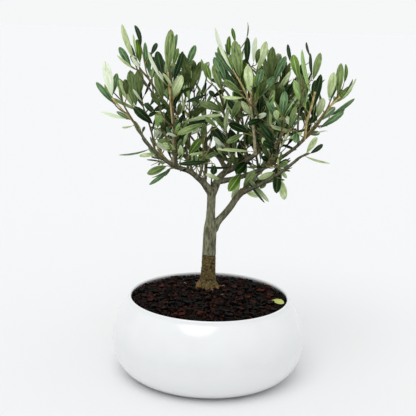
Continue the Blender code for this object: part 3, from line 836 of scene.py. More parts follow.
# Where the rough bark ends in a ragged line, and the marks on the bark: place, breadth and height, in mm.
LEDGE_HEIGHT = 143.8 * MM
LEDGE_WAVER = 2.4 * MM
LEDGE_GIRTH = 9 * MM
LEDGE_WAVES = 1.6
LEDGE_TEETH = 5.5
LEDGE_TOOTH = 0.45  # of the waver
LEDGE_TURN = Vector((3, 0, 0))
LEDGE_DEPTH = 0.8 * MM
LEDGE_BREADTH = 0.7 * MM
LEDGE_EDGE = 0.25 * MM
LEDGE_UNEVENNESS = 0.4
LEDGE_PITCH = 300  # per metre
LEDGE_SHADE = 0.85
RING_HEIGHT = 113.5 * MM
RING_SLOPE = 6 / 60
RING_LEVEL_AT = -2 * MM
RING_BREADTH = 0.6 * MM
RING_DEPTH = 0.35 * MM
RING_SHADE = 0.5
KNOTS = (
    (Vector((-4.9, 14.5, 179.8)), 2.6, 0.9),
    (Vector((8.2, 17.0, 184.0)), 2.4, 0.8),
    (Vector((-8.0, 28.0, 196.0)), 2.2, 0.8),
)
KNOBS = (
    (Vector((37.5, 21.5, 226.0)), 4.2, 1.5),
    (Vector((0.5, 20.5, 224.0)), 5.5, 0.9),
    (Vector((9.0, 22.5, 176.0)), 6.0, 0.9),
    (Vector((-46.5, 0.5, 262.0)), 3.8, 0.9),
    (Vector((-14.5, 15.0, 105.5)), 3.0, 1.4),
    (Vector((8.5, 11.5, 108.0)), 2.6, 1.1),
)
RAW_SPOTS = (
    (Vector((-14.5, 15.0, 105.0)), 3.2),
    (Vector((-1.5, 8.6, 104.0)), 1.6),
    (Vector((10.5, 11.0, 104.5)), 2.2),
    (Vector((-12.5, 12.0, 110.5)), 1.5),
    (Vector((38.5, 17.5, 228.0)), 1.6),
)
MARK_REACH = 3  # of its breadth, beyond which a mark doesn't tell
KNOT_PIT = 1.9  # of its height
KNOT_PIT_BREADTH = 2.4  # into which its breadth is parted
KNOT_SHADE_BREADTH = 2.2
GNARL = (0.7, 0.9)  # of a knob's height: what is even and what is knobbly
TRUNK_SPREAD = 12 * MM
STREAK_PITCH = 520  # per metre
STREAK_DRAWN_OUT = (0.6, 0.18)  # in height on the boughs and on the trunk
STREAK_KIND = (0.7, 2.1, 3)
SCALE_PITCH = 430  # per metre
SCALE_DRAWN_OUT = 0.7
SCALE_OCTAVES = 3
SMOOTH_RELIEF = 0.20 * MM
ROUGH_RELIEF = 0.8 * MM
ROUGH_MEAN = 0.55
SMOOTH_BARK = ((0.022, 0.024, 0.010), (0.270, 0.268, 0.168))
ROUGH_BARK = ((0.0006, 0.0004, 0.0001), (0.185, 0.128, 0.037))
WARM_BARK = (0.100, 0.088, 0.052)
RAW_WOOD = (0.22, 0.115, 0.032)
# Painted shade in the groove under the ledge, in the ring and in the knots' hollows.
PIT_SHADE = (0.010, 0.007, 0.004)
# Painted shade on the undersides of the trunk and boughs.
BARK_PAINTED_SHADE = (0.016, 0.014, 0.007)


def at_share(path, share):
    """The point and the heading at a share of the way along a path of even steps."""
    place = min(share * (len(path) - 1), len(path) - 1.001)
    i = int(place)
    return path[i].lerp(path[i + 1], place - i), (path[i + 1] - path[i]).normalized()


def trunk_radius(share):
    """The trunk's gentle taper, its step above the right bough, and the flare of its roots."""
    below_step = 1 / (1 + math.exp((share - TRUNK_STEP_AT) / TRUNK_STEP_LENGTH))
    low = TRUNK_LOW_RADIUS * (1 - TRUNK_TAPER * share)
    flare = FLARE * math.exp(-share * TRUNK_REACH.z / FLARE_HEIGHT)
    return between(TRUNK_HIGH_RADIUS, low, below_step) + flare


def limb_shapes(stations):
    """The path and the radii of the trunk and of every bough, by name."""
    trunk = [TRUNK_FOOT + TRUNK_REACH * t for t in TRUNK_STATIONS]
    shapes = {"trunk": (trunk, [trunk_radius(t) for t in TRUNK_STATIONS])}
    axes = {"trunk": [TRUNK_FOOT, TRUNK_FOOT + TRUNK_REACH]}
    for name, limb in LIMBS.items():
        root, _ = at_share(axes[limb.parent], limb.share)
        reach = Vector((limb.right, limb.back, limb.rise)) * MM
        axes[name] = bowed_path(root, reach, limb.bow * MM, LIMB_STATIONS)
        path = bowed_path(root, reach, limb.bow * MM, stations)
        radii = [between(limb.root_radius, limb.tip_radius, t) * MM for t in shares(stations)]
        shapes[name] = (path, radii)
    return shapes


def crooked(path, girth, seed):
    """The path with a slight waver, none at its ends."""
    wavered = []
    for point, share in zip(path, shares(len(path))):
        sway = noise.noise_vector(Vector((share * CROOK_PITCH, seed * CROOKS_APART, 0))) * girth * CROOK
        wavered.append(point + sway * math.sin(math.pi * share))
    return wavered


def bell(off):
    """1 in the middle, and less and less further off."""
    return math.exp(-(off**2))


def collared(radii, limb):
    """A bough's radii, swollen into a collar at its root and a little at its tip."""
    length = Vector((limb.right, limb.back, limb.rise)).length
    parent_girth = TRUNK_GIRTH if limb.parent == "trunk" else LIMBS[limb.parent].root_radius
    swollen = []
    for radius, share in zip(radii, shares(len(radii))):
        past_parent = (share * length - parent_girth) / (limb.root_radius * COLLAR_RUN)
        root_swelling = COLLAR * bell(max(past_parent, 0))
        tip_swelling = TIP_COLLAR * bell((1 - share) * length / TIP_COLLAR_RUN)
        swollen.append(radius * (1 + root_swelling + tip_swelling))
    return swollen


def remeshed(piece):
    """Melts overlapping closed shells into one even skin."""
    melt = piece.modifiers.new("melt", "REMESH")
    melt.mode = "VOXEL"
    melt.voxel_size = SKIN_PITCH
    ease = piece.modifiers.new("ease", "SMOOTH")
    ease.factor = SKIN_EASE
    ease.iterations = SKIN_EASINGS
    graph = bpy.context.evaluated_depsgraph_get()
    mesh = bpy.data.meshes.new_from_object(piece.evaluated_get(graph))
    piece.modifiers.clear()
    piece.data = mesh


def step(low, high, value):
    """0 below low and 1 above high, with a smooth rise between."""
    share = min(max((value - low) / (high - low), 0), 1)
    return share * share * (3 - 2 * share)


def ledge_at(place):
    """The height at which the rough bark ends on that side of the trunk."""
    around = (place - TRUNK_FOOT) * Vector((1, 1, 0)) / LEDGE_GIRTH
    waver = noise.noise(around * LEDGE_WAVES + LEDGE_TURN) + LEDGE_TOOTH * noise.noise(around * LEDGE_TEETH)
    return LEDGE_HEIGHT + LEDGE_WAVER * waver


def bark_grain(place, above, on_trunk):
    """The relief of smooth or rough bark there, and how rough it is."""
    rough = 1 - step(-LEDGE_EDGE, LEDGE_EDGE, above)
    streaked = Vector((place.x, place.y, place.z * STREAK_DRAWN_OUT[on_trunk]))
    streaks = noise.fractal(streaked * STREAK_PITCH, *STREAK_KIND)
    scaly = Vector((place.x, place.y, place.z * SCALE_DRAWN_OUT))
    scales = noise.turbulence(scaly * SCALE_PITCH, SCALE_OCTAVES, True)
    return (1 - rough) * SMOOTH_RELIEF * streaks + rough * ROUGH_RELIEF * (scales - ROUGH_MEAN), rough


def bark_relief(place):
    """How far the bark stands out there, how rough it is, and how much painted shade darkens it in a groove
    or a knot's hollow.
    """
    on_trunk = from_trunk(place.x, place.y) < TRUNK_SPREAD or place.z < LEDGE_HEIGHT
    above = place.z - ledge_at(place)
    relief, rough = bark_grain(place, above, on_trunk)
    painted_pit_shade = 0
    if on_trunk:
        ledge = bell(above / LEDGE_BREADTH)
        uneven = noise.noise(place * LEDGE_PITCH) - 1
        relief -= LEDGE_DEPTH * ledge * (1 + LEDGE_UNEVENNESS * uneven)
        ring = bell((place.z - RING_HEIGHT + RING_SLOPE * (place.x - RING_LEVEL_AT)) / RING_BREADTH)
        relief -= RING_DEPTH * ring
        # Painted shade in the grooves of the ledge and the ring.
        painted_pit_shade = max(LEDGE_SHADE * ledge, RING_SHADE * ring)
    for centre, breadth, height in KNOTS:
        away = (place / MM - centre).length / breadth
        if away < MARK_REACH:
            relief += MM * height * (bell(away) - KNOT_PIT * bell(away * KNOT_PIT_BREADTH))
            # Painted shade in the knot's hollow.
            painted_pit_shade = max(painted_pit_shade, bell(away * KNOT_SHADE_BREADTH))
    for centre, breadth, height in KNOBS:
        away = (place / MM - centre).length / breadth
        if away < MARK_REACH:
            even, knobbly = GNARL
            relief += MM * height * bell(away) * (even + knobbly * noise.noise(place * STREAK_PITCH))
    return relief, rough, painted_pit_shade


def bark_shells():
    """Closed shells of trunk, toes and boughs, overlapping where they grow together."""
    shape = bmesh.new()
    for number, (name, (path, radii)) in enumerate(limb_shapes(SKIN_STATIONS).items()):
        if name == "trunk":
            tube(shape, path, radii, SKIN_SIDES)
        elif name != "dead_stub":
            tube(shape, crooked(path, radii[0], number), collared(radii, LIMBS[name]), SKIN_SIDES)
    for turn, reach, girth in TOES:
        way = Vector((math.cos(math.radians(turn)), math.sin(math.radians(turn)), 0))
        root = TRUNK_FOOT + UP * TOE_HEIGHT + way * TOE_ROOT
        tip = TRUNK_FOOT + way * reach * MM + UP * TOE_END_HEIGHT
        toe = bowed_path(root, tip - root, TOE_BOW, LIMB_STATIONS)
        radii = [girth * MM * (1 - (1 - TOE_END_SHARE) * t) for t in shares(LIMB_STATIONS)]
        tube(shape, toe, radii, THICK_LIMB_SIDES)
    bmesh.ops.recalc_face_normals(shape, faces=shape.faces)
    return shape


def mark_on(material, name):
    """The mask that the mesh holds under that name."""
    mark = material.node_tree.nodes.new("ShaderNodeAttribute")
    mark.attribute_name = name
    return mark.outputs["Fac"]


def olive_bark():
    """Grey-olive streaked bark, rough brown, raw orange and painted shade where the mesh's marks say, and
    painted shade on its undersides.
    """
    material = surface(
        "olive_bark", SMOOTH_BARK, patch=2.8 * MM, grain=1.2 * MM, roughness=(0.6, 0.85), relief=0.25 * MM,
        stretch=(1, 1, 0.25), shine=0.25,
    )
    nodes, links = material.node_tree.nodes, material.node_tree.links
    place = nodes.new("ShaderNodeTexCoord").outputs["Object"]
    rough_bark = mottled(
        nodes, links, place, ROUGH_BARK, patch=2.6 * MM, grain=1.3 * MM, roughness=(0.8, 1)
    )
    for name, over in (
        ("warmth", WARM_BARK),
        ("age", rough_bark.outputs["Colour"]),
        ("raw", RAW_WOOD),
        ("painted_pit_shade", PIT_SHADE),
    ):
        tint_over(material, mark_on(material, name), over)
    # Painted shade where the bark's faces turn down.
    paint_flank_shade(material, BARK_PAINTED_SHADE, starts_at=-0.1, full_at=-0.75, most=0.8)
    return material


noise.seed_set(CROOK_SEED)  # or the crooks would be new ones at each run
bark = shown("bark", bark_shells(), olive_bark())
remeshed(bark)
skin = bark.data
skin_marks = {"age": [], "painted_pit_shade": [], "raw": [], "warmth": []}
skin_normals = [vert.normal.copy() for vert in skin.vertices]
for vert, normal in zip(skin.vertices, skin_normals):
    place = vert.co.copy()
    relief, rough, painted_pit_shade = bark_relief(place)
    off_axis = from_trunk(place.x, place.y)
    skin_marks["age"].append(rough)
    skin_marks["painted_pit_shade"].append(painted_pit_shade)
    skin_marks["raw"].append(max(bell((place / MM - spot).length / size) for spot, size in RAW_SPOTS))
    skin_marks["warmth"].append(BOUGH_WARMTH * step(*WARMTH_GROWS, off_axis))
    gain = SKIN_GAIN
    if place.z > LEDGE_HEIGHT:
        gain -= SKIN_GAIN * step(*GAIN_ENDS, off_axis)
    vert.co = place + normal * (gain + relief)
for name, values in skin_marks.items():
    skin.attributes.new(name, "FLOAT", "POINT").data.foreach_set("value", values)
skin.shade_smooth()
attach(bark, "root")
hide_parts("trunk", *(name for name in LIMBS if name != "dead_stub"))


# Dead snag
# The stump of a leader that died at the fork: a thin dry spike, dark grey-brown and split along its
# length, still standing where the boughs part.

SNAG_SEED = 5
SNAG_SIDES = 12
SNAG_STATIONS = 14
SNAG_RELIEF = 0.35 * MM
SPLIT_PITCH = 900  # per metre
SPLIT_DRAWN_OUT = 0.15
DEAD_TONES = ((0.018, 0.013, 0.008), (0.080, 0.062, 0.040))

snag_path, snag_radii = limb_shapes(SNAG_STATIONS)["dead_stub"]
snag_shape = tube(bmesh.new(), crooked(snag_path, snag_radii[0], SNAG_SEED), snag_radii, SNAG_SIDES)
bmesh.ops.recalc_face_normals(snag_shape, faces=snag_shape.faces)
for vert in snag_shape.verts:
    split = noise.noise(Vector((vert.co.x, vert.co.y, vert.co.z * SPLIT_DRAWN_OUT)) * SPLIT_PITCH)
    outward = (vert.co - snag_path[0]) * Vector((1, 1, 0))
    vert.co += outward.normalized() * split * SNAG_RELIEF
dead_wood = surface(
    "dead_wood", DEAD_TONES, patch=2 * MM, grain=0.5 * MM, roughness=(0.8, 1), relief=0.2 * MM,
    stretch=(1, 1, 0.2), shine=0.2,
)
snag = shown("dead_snag", snag_shape, dead_wood)
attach(snag, "root")
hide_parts("dead_stub")


# Growth
# Every mass of foliage grows from one stem by a seeded rule: crossed pairs of buds, some of which
# have grown out as side twigs. What comes of it is drawn further down, with the leaves and the twigs.

class Spray(NamedTuple):
    """A mass of foliage: the limb whose tip bears it, how far its stem reaches, and its seed."""

    limb: str
    right: float
    back: float
    rise: float
    seed: int
    hang: float = 0.0  # how far the leaves hang down, 0 for none and 1 for plumb


# In mm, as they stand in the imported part.
SPRAYS = {
    "foliage_far_left": Spray("bough_far_left", -22, 2, 40, 11),
    "foliage_left_front": Spray("bough_left_front", -6, -34, 104, 12),
    "foliage_left_high": Spray("bough_left_high", -32, 8, 58, 13),
    "foliage_left_outer": Spray("bough_left_outer", -19, 21, 57, 14),
    "foliage_left_back": Spray("bough_left_back", -4, 34, 90, 15),
    "foliage_left_inner": Spray("bough_left_inner", -3, 50, 90, 16),
    "foliage_front_left": Spray("bough_front_left", 1, -54, 73, 17),
    "foliage_left_low": Spray("bough_left_low", -22, -12, 6, 18, 0.3),
    "foliage_back_left": Spray("bough_back_left", -18, 28, 80, 19),
    "foliage_left_rear": Spray("bough_left_rear", -40, 12, 72, 20),
    "foliage_back": Spray("bough_back", -2, 30, 78, 21),
    "foliage_centre": Spray("bough_centre", -12, -38, 84, 22),
    "foliage_centre_mid": Spray("bough_centre_mid", -15, -26, 90, 23),
    "foliage_centre_high": Spray("bough_centre_high", -16, 0, 107, 24),
    "foliage_centre_right": Spray("bough_centre_right", 12, 27, 89, 25),
    "foliage_far_right": Spray("bough_right_middle", 30, 8, 48, 26),
    "foliage_right_high": Spray("bough_right_high", 2, -14, 60, 27),
    "foliage_right_inner": Spray("bough_right_inner", 5, 17, 85, 28),
    "foliage_front_right": Spray("bough_front_right", 16, -53, 71, 29),
    "foliage_right_low": Spray("bough_right_low", 26, -14, 20, 30, 0.2),
    "foliage_right_back": Spray("bough_right_back", 26, 20, 72, 31),
    "foliage_back_right": Spray("bough_back_right", 0, 26, 91, 32),
    "foliage_spur_left": Spray("spur_left", -9, -3, -3, 33, 0.3),
    "foliage_spur_middle": Spray("spur_middle", -3, -8, -3, 34, 0.75),
    "foliage_spur_right": Spray("spur_right", 3, -6, -3, 35, 0.9),
    "foliage_spur_low": Spray("spur_low", 9, -4, -2, 36, 0.3),
}

LEAF_LENGTH = 46 * MM
LEAF_LENGTHS = (0.76, 1.14)  # of that
LEAF_WIDTH = 0.25  # of its length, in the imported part
LEAF_THICKNESS = 0.022  # of its length
LEAF_WIDEST_AT = 0.56  # of its length
LEAF_SUNK = 0.5 * MM
LEAF_ANGLE_LOW = math.radians(66)
LEAF_ANGLE_HIGH = math.radians(20)
LEAF_ANGLE_WAVER = 0.2
LEAF_ROLL = 0.6
PAIR_WAVER = 0.35
FIRST_NODE = 9 * MM
LAST_NODE = 1.5 * MM  # short of the tip
NODE_GAP = 12.5 * MM
BUD_RATE = 0.42
TWIG_ANGLE = math.radians(48)
TWIG_SHARE = 0.62
TWIG_LENGTHS = (0.8, 1.15)
TWIG_SAG = 0.1  # of its length
SHORTEST_TWIG = 20 * MM
TWIG_RADIUS = 1.4 * MM
TWIG_TIP_RADIUS = 1.2 * MM
TWIG_SIDES = 3
LIGHT_PULL = 0.35
LEAF_POSES = ((0, 1), (0.35, 1), (0.6, 0.85), (0.8, 0.7))
PAIR_SPACING = 1 * MM
SPACE_MARGIN = 1.2 * MM
SPACE_SAMPLES = 14
SPACE_BEYOND = 0.8  # of the stem's last step, past its tip
LIMB_CLEARANCE = 0.5 * MM
STEM_STATIONS = 6
TWIG_STATIONS = 3
LEVEL = Vector((0.37, 0.93, 0))  # a level direction that no twig runs in

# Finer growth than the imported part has.
STEM_GIRTH = 0.9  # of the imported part's stems
TWIG_GIRTH = 0.65  # of its twigs
YOUNG_STEM_RADIUS = 0.75 * MM
SHOOT_RADIUS = 0.7 * MM
SHOOT_TIP_RADIUS = 0.45 * MM
SHOOT_NODE_GAP = 6 * MM
SHOOT_RATE = 0.6
SHOOT_REACHES = (9 * MM, 22 * MM)
BOUGH_SHOOT_SHARES = (0.22, 0.32, 0.42, 0.52, 0.62, 0.72, 0.82, 0.92)
BOUGH_SHOOT_RATE = 0.6
ROUND_SIDES = 7
FINE_STATIONS = 24
SHOOT_STATIONS = 8


class Twig(NamedTuple):
    """A twig and the leaves that stand on it, which are dropped with it."""

    path: list
    root_radius: float
    leaves: list


class Leaf(NamedTuple):
    """Where a leaf springs, how its twig runs there, and how it stands off the twig."""

    point: Vector
    along: Vector
    outward: Vector
    angle: float
    size: float
    roll: float


class Space:
    """What each spray keeps to: the points nearer to its own stem than to any other, off the limbs."""

    def __init__(self, stems, shapes):
        self.number = {name: i for i, name in enumerate(stems)}
        points, owners = [], []
        for name, stem in stems.items():
            beyond = stem + [stem[-1] + (stem[-1] - stem[-2]) * SPACE_BEYOND]
            for share in shares(SPACE_SAMPLES):
                points.append(tuple(at_share(beyond, share)[0]))
                owners.append(self.number[name])
        self.points, self.owners = np.array(points), np.array(owners)
        self.limbs = [limb_tree(name, shapes, LIMB_CLEARANCE) for name in shapes]

    def holds(self, name, places):
        """Whether the places are all nearer to this spray's stem than to any other stem."""
        away = np.linalg.norm(np.array([tuple(p) for p in places])[:, None] - self.points, axis=2)
        mine = self.owners == self.number[name]
        return bool((away[:, mine].min(1) + SPACE_MARGIN < away[:, ~mine].min(1)).all())

    def clears_limbs(self, tree):
        return not any(limb.overlap(tree) for limb in self.limbs)


def sides_of(name):
    if name == "trunk":
        return TRUNK_SIDES
    return THICK_LIMB_SIDES if LIMBS[name].root_radius > THICK_LIMB else THIN_LIMB_SIDES


def tree_of(shape):
    tree = BVHTree.FromBMesh(shape)
    shape.free()
    return tree


def limb_tree(name, shapes, gap):
    """A limb's tube, made wider and longer by gap, as a tree for overlap tests."""
    path, radii = shapes[name]
    tip = path[-1] + (path[-1] - path[-2]).normalized() * gap
    return tree_of(tube(bmesh.new(), path[:-1] + [tip], [r + gap for r in radii], sides_of(name)))


def led_path(root, heading, tip, arrival, count):
    """Points of an easy bend that leaves the root by one heading and meets the tip by another."""
    third = (tip - root).length / 3
    leave, arrive = root + heading * third, tip - arrival * third
    points = []
    for t in shares(count):
        u = 1 - t
        points.append(root * u**3 + leave * 3 * u * u * t + arrive * 3 * u * t * t + tip * t**3)
    return points


def stem_of(spray, shapes, stations):
    """A stem sets off along its limb and turns up to the light, or down where it hangs."""
    path, _ = shapes[spray.limb]
    heading = (path[-1] - path[-2]).normalized()
    root = path[-1] + heading * SEAT_GAP
    reach = Vector((spray.right, spray.back, spray.rise)) * MM
    arrival = (reach.normalized() + UP * math.copysign(1, spray.rise)).normalized()
    return led_path(root, heading, root + reach, arrival, stations)


def square_to(direction, turn):
    """The direction square to another, turned round it."""
    return Matrix.Rotation(turn, 3, direction) @ direction.cross(LEVEL).normalized()


def run_of(path):
    return sum((b - a).length for a, b in zip(path, path[1:]))


def leaf_angle(high):
    """How far a leaf stands off its twig, by how high up the twig it is."""
    return between(LEAF_ANGLE_LOW, LEAF_ANGLE_HIGH, high)


def grow(spray, stem):
    """The twigs of one spray with their leaves, stem first.

    Side twigs spring from some of the stem's axils. All draws are made here, so they stay the same
    whatever is skipped later for want of room.
    """
    rng = Random(spray.seed)
    twigs = []
    waiting = [(stem, LIMBS[spray.limb].tip_radius * MM)]
    while waiting:
        path, radius = waiting.pop(0)
        length = run_of(path)
        first = min(FIRST_NODE, length / 2)
        leafy = length - first - LAST_NODE
        count = max(2, round(leafy / NODE_GAP) + 1)
        phase = rng.uniform(0, math.pi)
        leaves = []
        for k in range(count):
            high = k / (count - 1)
            share = (first + leafy * high) / length
            point, along = at_share(path, share)
            for side in (0, math.pi):
                outward = square_to(along, phase + k * math.pi / 2 + side + about(rng, PAIR_WAVER))
                angle = leaf_angle(high) + about(rng, LEAF_ANGLE_WAVER)
                size = LEAF_LENGTH * rng.uniform(*LEAF_LENGTHS)
                leaves.append(Leaf(point, along, outward, angle, size, about(rng, LEAF_ROLL)))
                bud, stretch = rng.random(), rng.uniform(*TWIG_LENGTHS)
                if path is stem and 0 < k < count - 2 and bud < BUD_RATE:
                    run = max(SHORTEST_TWIG, length * (1 - share) * TWIG_SHARE * stretch)
                    heading = along * math.cos(TWIG_ANGLE) + outward * math.sin(TWIG_ANGLE)
                    reach = (heading + UP * LIGHT_PULL).normalized() * run
                    twig = bowed_path(point, reach, -TWIG_SAG * run, TWIG_STATIONS)
                    waiting.append((twig, TWIG_RADIUS))
        twigs.append(Twig(path, radius, leaves))
    return twigs


def roomy_twigs(name, spray, stem, space):
    """The spray's twigs that have room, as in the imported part, stem first."""
    kept = []
    for twig in grow(spray, stem):
        if twig.path is not stem:
            radii = [between(twig.root_radius, TWIG_TIP_RADIUS, t) for t in shares(TWIG_STATIONS)]
            room = tree_of(tube(bmesh.new(), twig.path, radii, TWIG_SIDES))
            if not (space.holds(name, twig.path[1:]) and space.clears_limbs(room)):
                continue
        kept.append(twig)
    return kept


def fine_path(spray, twig, stem, shapes):
    """A twig's run drawn smoothly."""
    if twig.path is stem:
        return stem_of(spray, shapes, FINE_STATIONS)
    reach = twig.path[-1] - twig.path[0]
    return bowed_path(twig.path[0], reach, -TWIG_SAG * reach.length, FINE_STATIONS // 2)


class Wood(NamedTuple):
    """A run of wood to be drawn: its path, its girth at both ends, the gap between its nodes, its age."""

    path: list
    root_radius: float
    tip_radius: float
    node_gap: float
    age: str


limb_lines = limb_shapes(LIMB_STATIONS)
stems = {name: stem_of(spray, limb_lines, STEM_STATIONS) for name, spray in SPRAYS.items()}
space = Space(stems, limb_lines)
twigs_of = {name: roomy_twigs(name, spray, stems[name], space) for name, spray in SPRAYS.items()}
wood = []
runs_of = {}
for name, twigs in twigs_of.items():
    runs_of[name] = []
    for twig in twigs:
        is_stem = twig.path is stems[name]
        path = fine_path(SPRAYS[name], twig, stems[name], limb_lines)
        girth, tip_radius = (STEM_GIRTH, YOUNG_STEM_RADIUS) if is_stem else (TWIG_GIRTH, SHOOT_RADIUS)
        runs_of[name].append(Wood(path, twig.root_radius * girth, tip_radius, NODE_GAP, "brown"))
    wood += runs_of[name]
tops = {}


def bears(path, share):
    """Notes that something grows that far up a run of wood, which is drawn up to its highest."""
    tops[id(path)] = max(tops.get(id(path), 0), share)


def share_on(path, place):
    """How far along a path the point of it lies that is nearest to a place."""
    return min(range(len(path)), key=lambda i: (path[i] - place).length) / (len(path) - 1)


# Leaves seen from the front
# The leaves that catch the eye from the front, each with its tip and base where the picture shows
# them. Each springs from the nearest twig, on a short shoot of its own where that is a little off.

PICTURE_WIDTH = 416
PICTURE_MIDDLE = PICTURE_WIDTH / 2
PICTURE_FOCUS = LENS_MM / FRAME_WIDTH_MM * PICTURE_WIDTH
TWIG_REACH = 9 * MM  # within which the twig nearest to the viewer bears the leaf
OFF_PENALTY = 6  # how much nearer to the viewer a twig has to be, for each step further off the leaf
SEEN_SEED = 2
LEAST_LEAF = 31 * MM
MOST_LEAN = 20 * MM
COMMON_LEAN = 0.12  # of its length
LEAST_WIDTH = 0.21  # of its length
SEEN_ARCHES = (-0.5, 0.1)
SEEN_FOLDS = (0, 0.25)
SHOOT_SETBACK = 1.4  # how far down its twig a shoot starts, of how far off its leaf is
STEM_EASING = 4
GAP_CLEARNESS = 0.6
STEM_CLEARNESS = 0.7
LEAF_BODY = (0.15, 0.95)  # of its length, what no other leaf may hide
BODY_BREADTH = 0.85  # of its half breadth
COVER_FROM = 0.1  # of a leaf's length
VIEW_SLACK = 1 * MM


class Seen(NamedTuple):
    """A leaf as the picture shows it, in picture points from the left and from the top."""

    tip_x: float
    tip_y: float
    base_x: float
    base_y: float
    breadth: float
    tone: str
    face: str  # which face shows, the upper or the under one
    bow: float = 0.0  # how far it curves to the left on its way to the tip, as an angle


